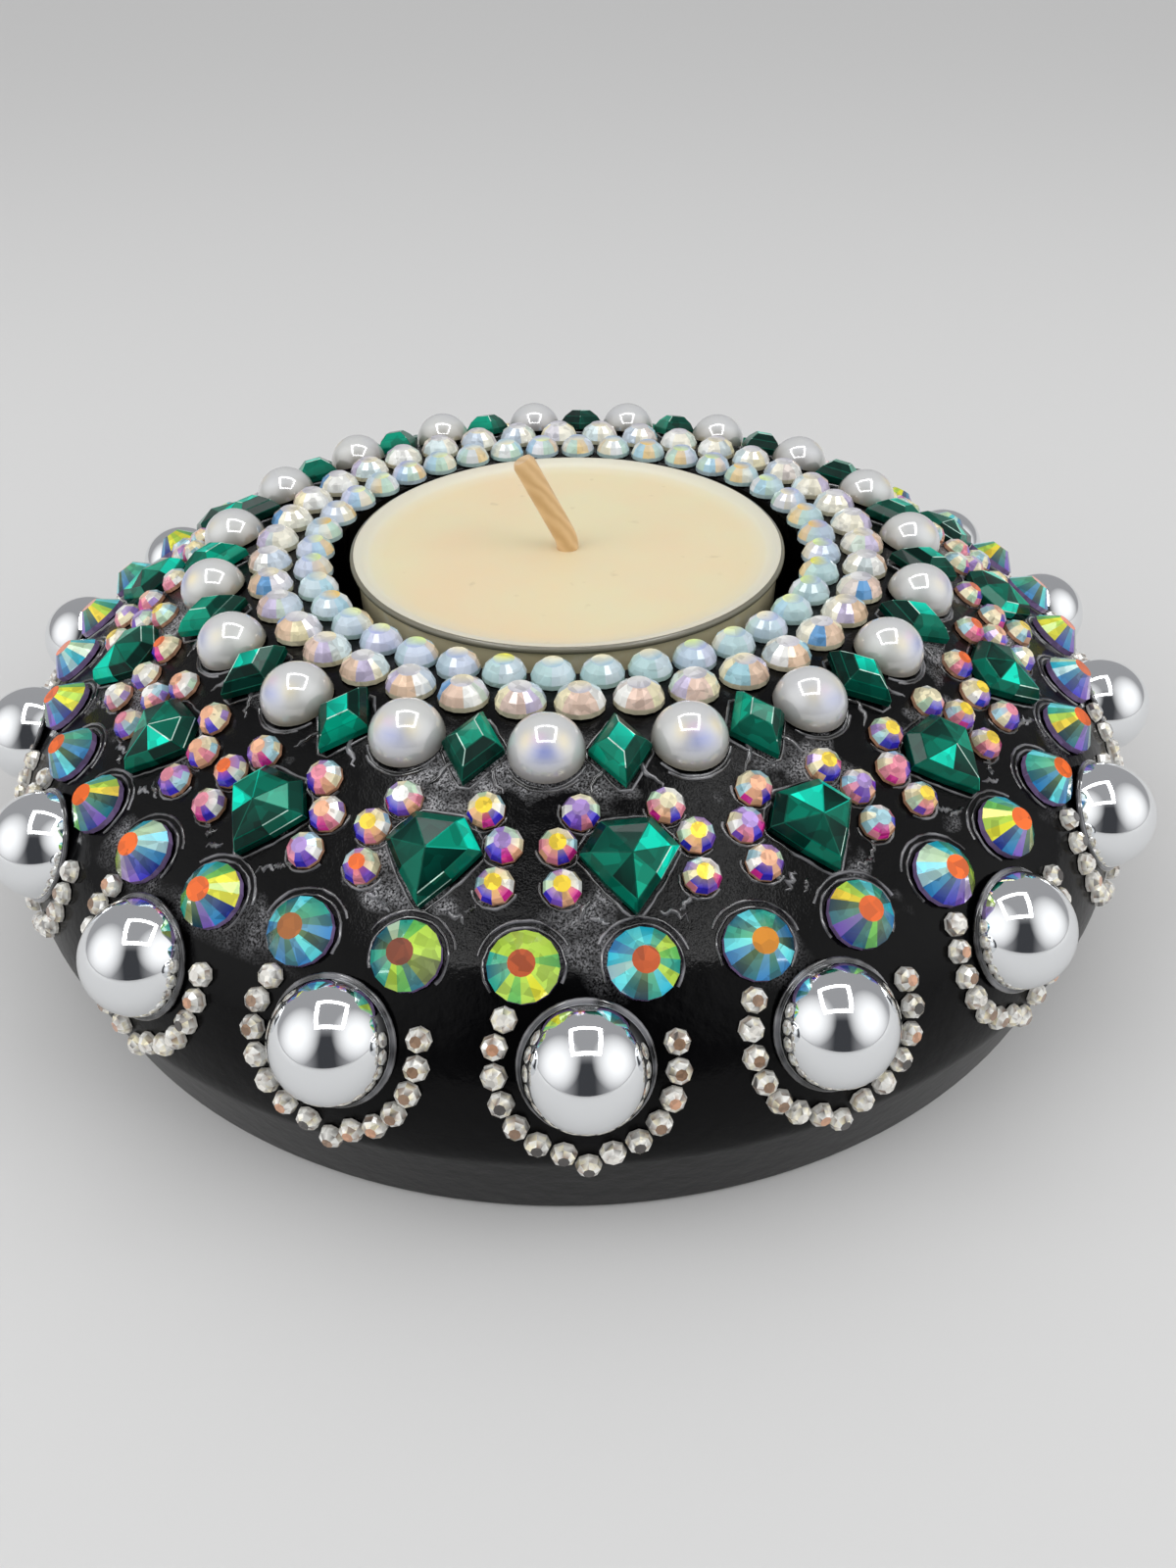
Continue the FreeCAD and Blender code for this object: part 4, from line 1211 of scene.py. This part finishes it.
def hang_lamps():
    """The square lamp overhead, which shows in gloss, and the windows that light surfaces."""
    for name, x, y in (("front", 0, -1), ("back", 0, 1), ("left", -1, 0), ("right", 1, 0)):
        spot = Vector(LAMP_CENTRE) + Vector((x, y, 0)) * LAMP_HALF
        width = 2 * LAMP_HALF + LAMP_BAR if y else LAMP_BAR
        height = LAMP_BAR if y else 2 * LAMP_HALF - LAMP_BAR
        add_lamp(f"frame_{name}", spot, spot - Vector((0, 0, 1)), width, height, LAMP_LEVEL, True)
    for name, side in (("left", -1), ("right", 1)):
        add_lamp(f"window_{name}", (side * WINDOW_SIDE, WINDOW_FRONT, WINDOW_RISE), (0, 0, 0.02),
                 WINDOW_WIDTH, WINDOW_HEIGHT, WINDOW_LEVEL, False)


def make_room():
    """A pale room. In gloss it is dimmer, with soft windows at both sides and a dark front."""
    world = bpy.data.worlds.new("pale_room")
    bpy.context.scene.world = world
    world.use_nodes = True
    tree = world.node_tree
    axes = split_axes(tree, tree.nodes.new("ShaderNodeTexCoord").outputs["Generated"])
    beside = math_node(tree, "ABSOLUTE", axes["X"], 0)
    narrow = remap(tree, beside, 0.22, 0.6, 1, 0)
    front = remap(tree, axes["Y"], -0.3, -0.6, 0, 1)
    room = mix_colours(tree, times(tree, narrow, front), GLOSS_ROOM, GLOSS_FRONT)
    towards = times(tree, beside, 0.79)
    towards = plus(tree, towards, times(tree, axes["Y"], -0.31))
    towards = plus(tree, towards, times(tree, axes["Z"], 0.53))
    room = mix_colours(tree, remap(tree, towards, 0.72, 1, 0, 1), room, GLOSS_WINDOW)
    ray = tree.nodes.new("ShaderNodeLightPath")
    open_room = mix_colours(tree, ray.outputs["Is Camera Ray"], OPEN_LIGHT, BACKDROP)
    tree.links.new(mix_colours(tree, ray.outputs["Is Glossy Ray"], open_room, room),
                   tree.nodes["Background"].inputs["Color"])


# The camera: its place in millimetres, its turn in degrees, its lens and its sensor
CAMERA_PLACE, CAMERA_TURN = (0, -101.343, 77.573), (53.3745, 0.5514, -1.3009)
CAMERA_LENS, CAMERA_SENSOR = 28.41, 36


def set_camera():
    """The camera where the photograph was taken from."""
    camera = bpy.data.cameras.new("camera")
    camera.lens = CAMERA_LENS
    camera.sensor_width = CAMERA_SENSOR
    camera.clip_start = 0.005
    view = add_object("camera", camera)
    view.location = Vector(CAMERA_PLACE) * MM
    view.rotation_euler = [radians(turn) for turn in CAMERA_TURN]
    bpy.context.scene.camera = view


kite_angles = ring_angles(BAYS, RING_FIRST + 90 / BAYS)
large_angles = ring_angles(2 * BAYS, RING_FIRST + 90 / BAYS)
dome_angles = ring_angles(BAYS, RING_FIRST)
pearl_angles = ring_angles(INNER, INNER_FIRST)
rhombus_angles = ring_angles(INNER, INNER_FIRST + 180 / INNER)

make_casting()
make_glue(large_angles, pearl_angles, rhombus_angles, kite_angles)
make_round_rows(kite_angles, large_angles, dome_angles)
make_green_stones(kite_angles, rhombus_angles)
make_cabochons(dome_angles, pearl_angles)
make_cup()
make_wax()
make_wick()
plate_sustainer()
make_floor()
hang_lamps()
make_room()
set_camera()
bpy.context.scene.view_settings.view_transform = "Standard"
